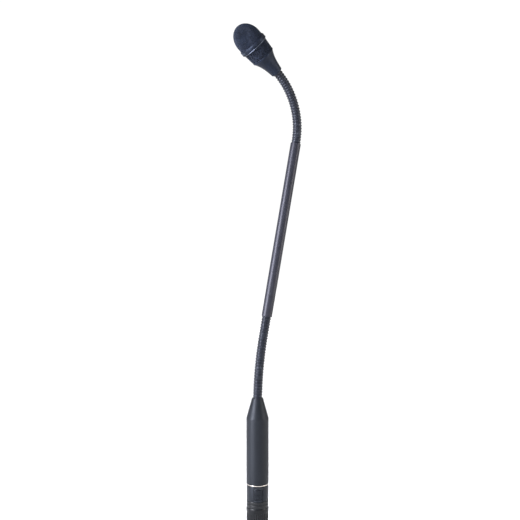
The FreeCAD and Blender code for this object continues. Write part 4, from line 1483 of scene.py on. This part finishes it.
@dataclass
class Studio:
    """Pale floor, white backdrop, soft lights and the camera.

    Attributes:
        azimuth: Direction of the camera round the object, in degrees.
        distance: From the barrel's axis to the camera, in metres.
        height: Height of the camera, which looks level.
        aside: How far the camera stands to its own right.
        lens: Focal length in millimetres, on a 36 mm sensor.
        backdrop: Brightness of the white backdrop.
        spread: Angles from its middle where it begins and has ceased to fade, in degrees.
        room: Brightness of the room beside it.
        table: Brightness that the lit table adds of its own, away from the object.
        lit: Distances from the object between which that sets in, in metres.
        key: Power of the large light on the camera's left.
        fill: Power of the small one on its right.
    """

    azimuth: float = 60.0
    distance: float = 0.675
    height: float = 0.2536
    aside: float = 0.00225
    lens: float = 51.92
    backdrop: float = 1.04
    spread: tuple[float, float] = (29, 48)
    room: float = 0.5
    table: float = 0.6
    lit: tuple[float, float] = (0.3, 2.2)
    key: float = 80.0
    fill: float = 14.0

    def build(self) -> None:
        """Build the stage, the lights and the camera."""
        angle = math.radians(self.azimuth)
        toward = Vector((math.sin(angle), -math.cos(angle), 0.0))
        right = Vector((math.cos(angle), math.sin(angle), 0.0))
        self.build_camera(toward, right)
        self.build_floor()
        self.area("key", toward * 0.72 - right * 1.08 + UP * 0.42, (0.6, 1.5), self.key,
                  (0.95, 0.96, 1.06))
        self.area("fill", toward * 0.3 + right * 1.4 + UP * 0.4, (0.5, 1.2), self.fill,
                  (1.06, 1.0, 0.96))
        self.build_air(-toward)
        bpy.context.scene.view_settings.view_transform = "Standard"

    def build_air(self, behind: Vector) -> None:
        """Light the air: a white backdrop behind the object and a dimmer room round it.

        Args:
            behind: Direction of the middle of the backdrop.
        """
        world = bpy.data.worlds.new("studio_air")
        bpy.context.scene.world = world
        world.use_nodes = True
        tree = world.node_tree
        way = add_node(tree, "ShaderNodeTexCoord").outputs["Generated"]
        facing = add_node(tree, "ShaderNodeVectorMath", {"operation": "DOT_PRODUCT"},
                          {1: behind}, {0: way})
        light = add_node(tree, "ShaderNodeMapRange", {"interpolation_type": "SMOOTHSTEP"},
                         {"From Min": math.cos(math.radians(self.spread[1])),
                          "From Max": math.cos(math.radians(self.spread[0])),
                          "To Min": self.room, "To Max": self.backdrop},
                         {"Value": facing.outputs["Value"]})
        tree.links.new(light.outputs[0], tree.nodes["Background"].inputs["Strength"])
        tree.nodes["Background"].inputs["Color"].default_value = (1, 1, 1, 1)

    def build_camera(self, toward: Vector, right: Vector) -> None:
        """Set the camera level, at the object's own viewing angle.

        Args:
            toward: Direction from the object to the camera.
            right: The camera's right.
        """
        data = bpy.data.cameras.new("camera")
        data.lens = self.lens
        data.sensor_width = 36.0
        camera = bpy.data.objects.new("camera", data)
        camera.location = toward * self.distance + right * self.aside + UP * self.height
        camera.rotation_euler = (-toward).to_track_quat("-Z", "Y").to_euler()
        bpy.context.scene.collection.objects.link(camera)
        bpy.context.scene.camera = camera

    @staticmethod
    def area(name: str, place: Vector, size: tuple[float, float], power: float,
             colour: tuple[float, float, float]) -> None:
        """Hang a soft box that faces the middle of the object.

        Args:
            name: The lamp's name.
            place: Where it hangs, in metres.
            size: Its width and height, in metres.
            power: Its power in watts.
            colour: Its colour, in linear light.
        """
        data = bpy.data.lights.new(name, "AREA")
        data.shape = "RECTANGLE"
        data.size, data.size_y = size
        data.energy = power
        data.color = colour
        lamp = bpy.data.objects.new(name, data)
        lamp.location = place
        aim = UP * MIDDLE - place
        lamp.rotation_euler = aim.to_track_quat("-Z", "Y").to_euler()
        bpy.context.scene.collection.objects.link(lamp)

    def build_floor(self) -> None:
        """A round pale floor that the object stands on."""
        sides, size = 96, 6.0
        points = [Vector()] + [Vector((math.cos(angle), math.sin(angle), 0.0)) * size
                               for angle in (2 * math.pi * s / sides for s in range(sides))]
        faces = [(0, 1 + step, 1 + (step + 1) % sides) for step in range(sides)]
        floor = mesh_piece("floor", points, faces, PALE_FLOOR)
        tree = floor.data.materials[0].node_tree
        shader = tree.nodes["Principled BSDF"]
        shader.inputs["Emission Color"].default_value = (1, 1, 1, 1)
        place = add_node(tree, "ShaderNodeTexCoord").outputs["Object"]
        reach = add_node(tree, "ShaderNodeVectorMath", {"operation": "LENGTH"}, {}, {0: place})
        glow = add_node(tree, "ShaderNodeMapRange", {"interpolation_type": "SMOOTHSTEP"},
                        {"From Min": self.lit[0], "From Max": self.lit[1], "To Min": 0.0,
                         "To Max": self.table},
                        {"Value": reach.outputs["Value"]})
        tree.links.new(glow.outputs[0], shader.inputs["Emission Strength"])


def main() -> None:
    """Build the studio and every sub-assembly, from the barrel to the head."""
    logging.basicConfig(level=logging.INFO, format="%(name)s: %(message)s")
    Studio().build()
    dress_cad_nodes()
    barrel, tube, head = Barrel(), Tube(), Head()
    barrel.build()
    CableConnector().build()
    tube.build()
    head.build()
    names = {"lower": ["barrel", "tube"], "upper": ["tube", "head"]}
    ends = {"lower": (Vector((0.0, 0.0, barrel.top * MM)), UP, tube.foot, tube.along),
            "upper": (tube.top, tube.along, head.foot, head.along)}
    depths = {"lower": (LOWER_FOOT, tube.grip, 0.0), "upper": (tube.grip, 12.0, UPPER_SETTLE)}
    for name, (below, above) in names.items():
        joints = [item for item in frame["joints"] if item["name"].startswith(name)]
        start, first, end, last = ends[name]
        points = [start] + [Vector(item["pos_m"]) for item in joints] + [end]
        bodies = [below] + [item["child"] for item in joints]
        assert bodies[-1] == above
        FlexibleSection(name, NeckCurve(points, first, last), bodies, *depths[name]).build()


if __name__ == "__main__":
    main()
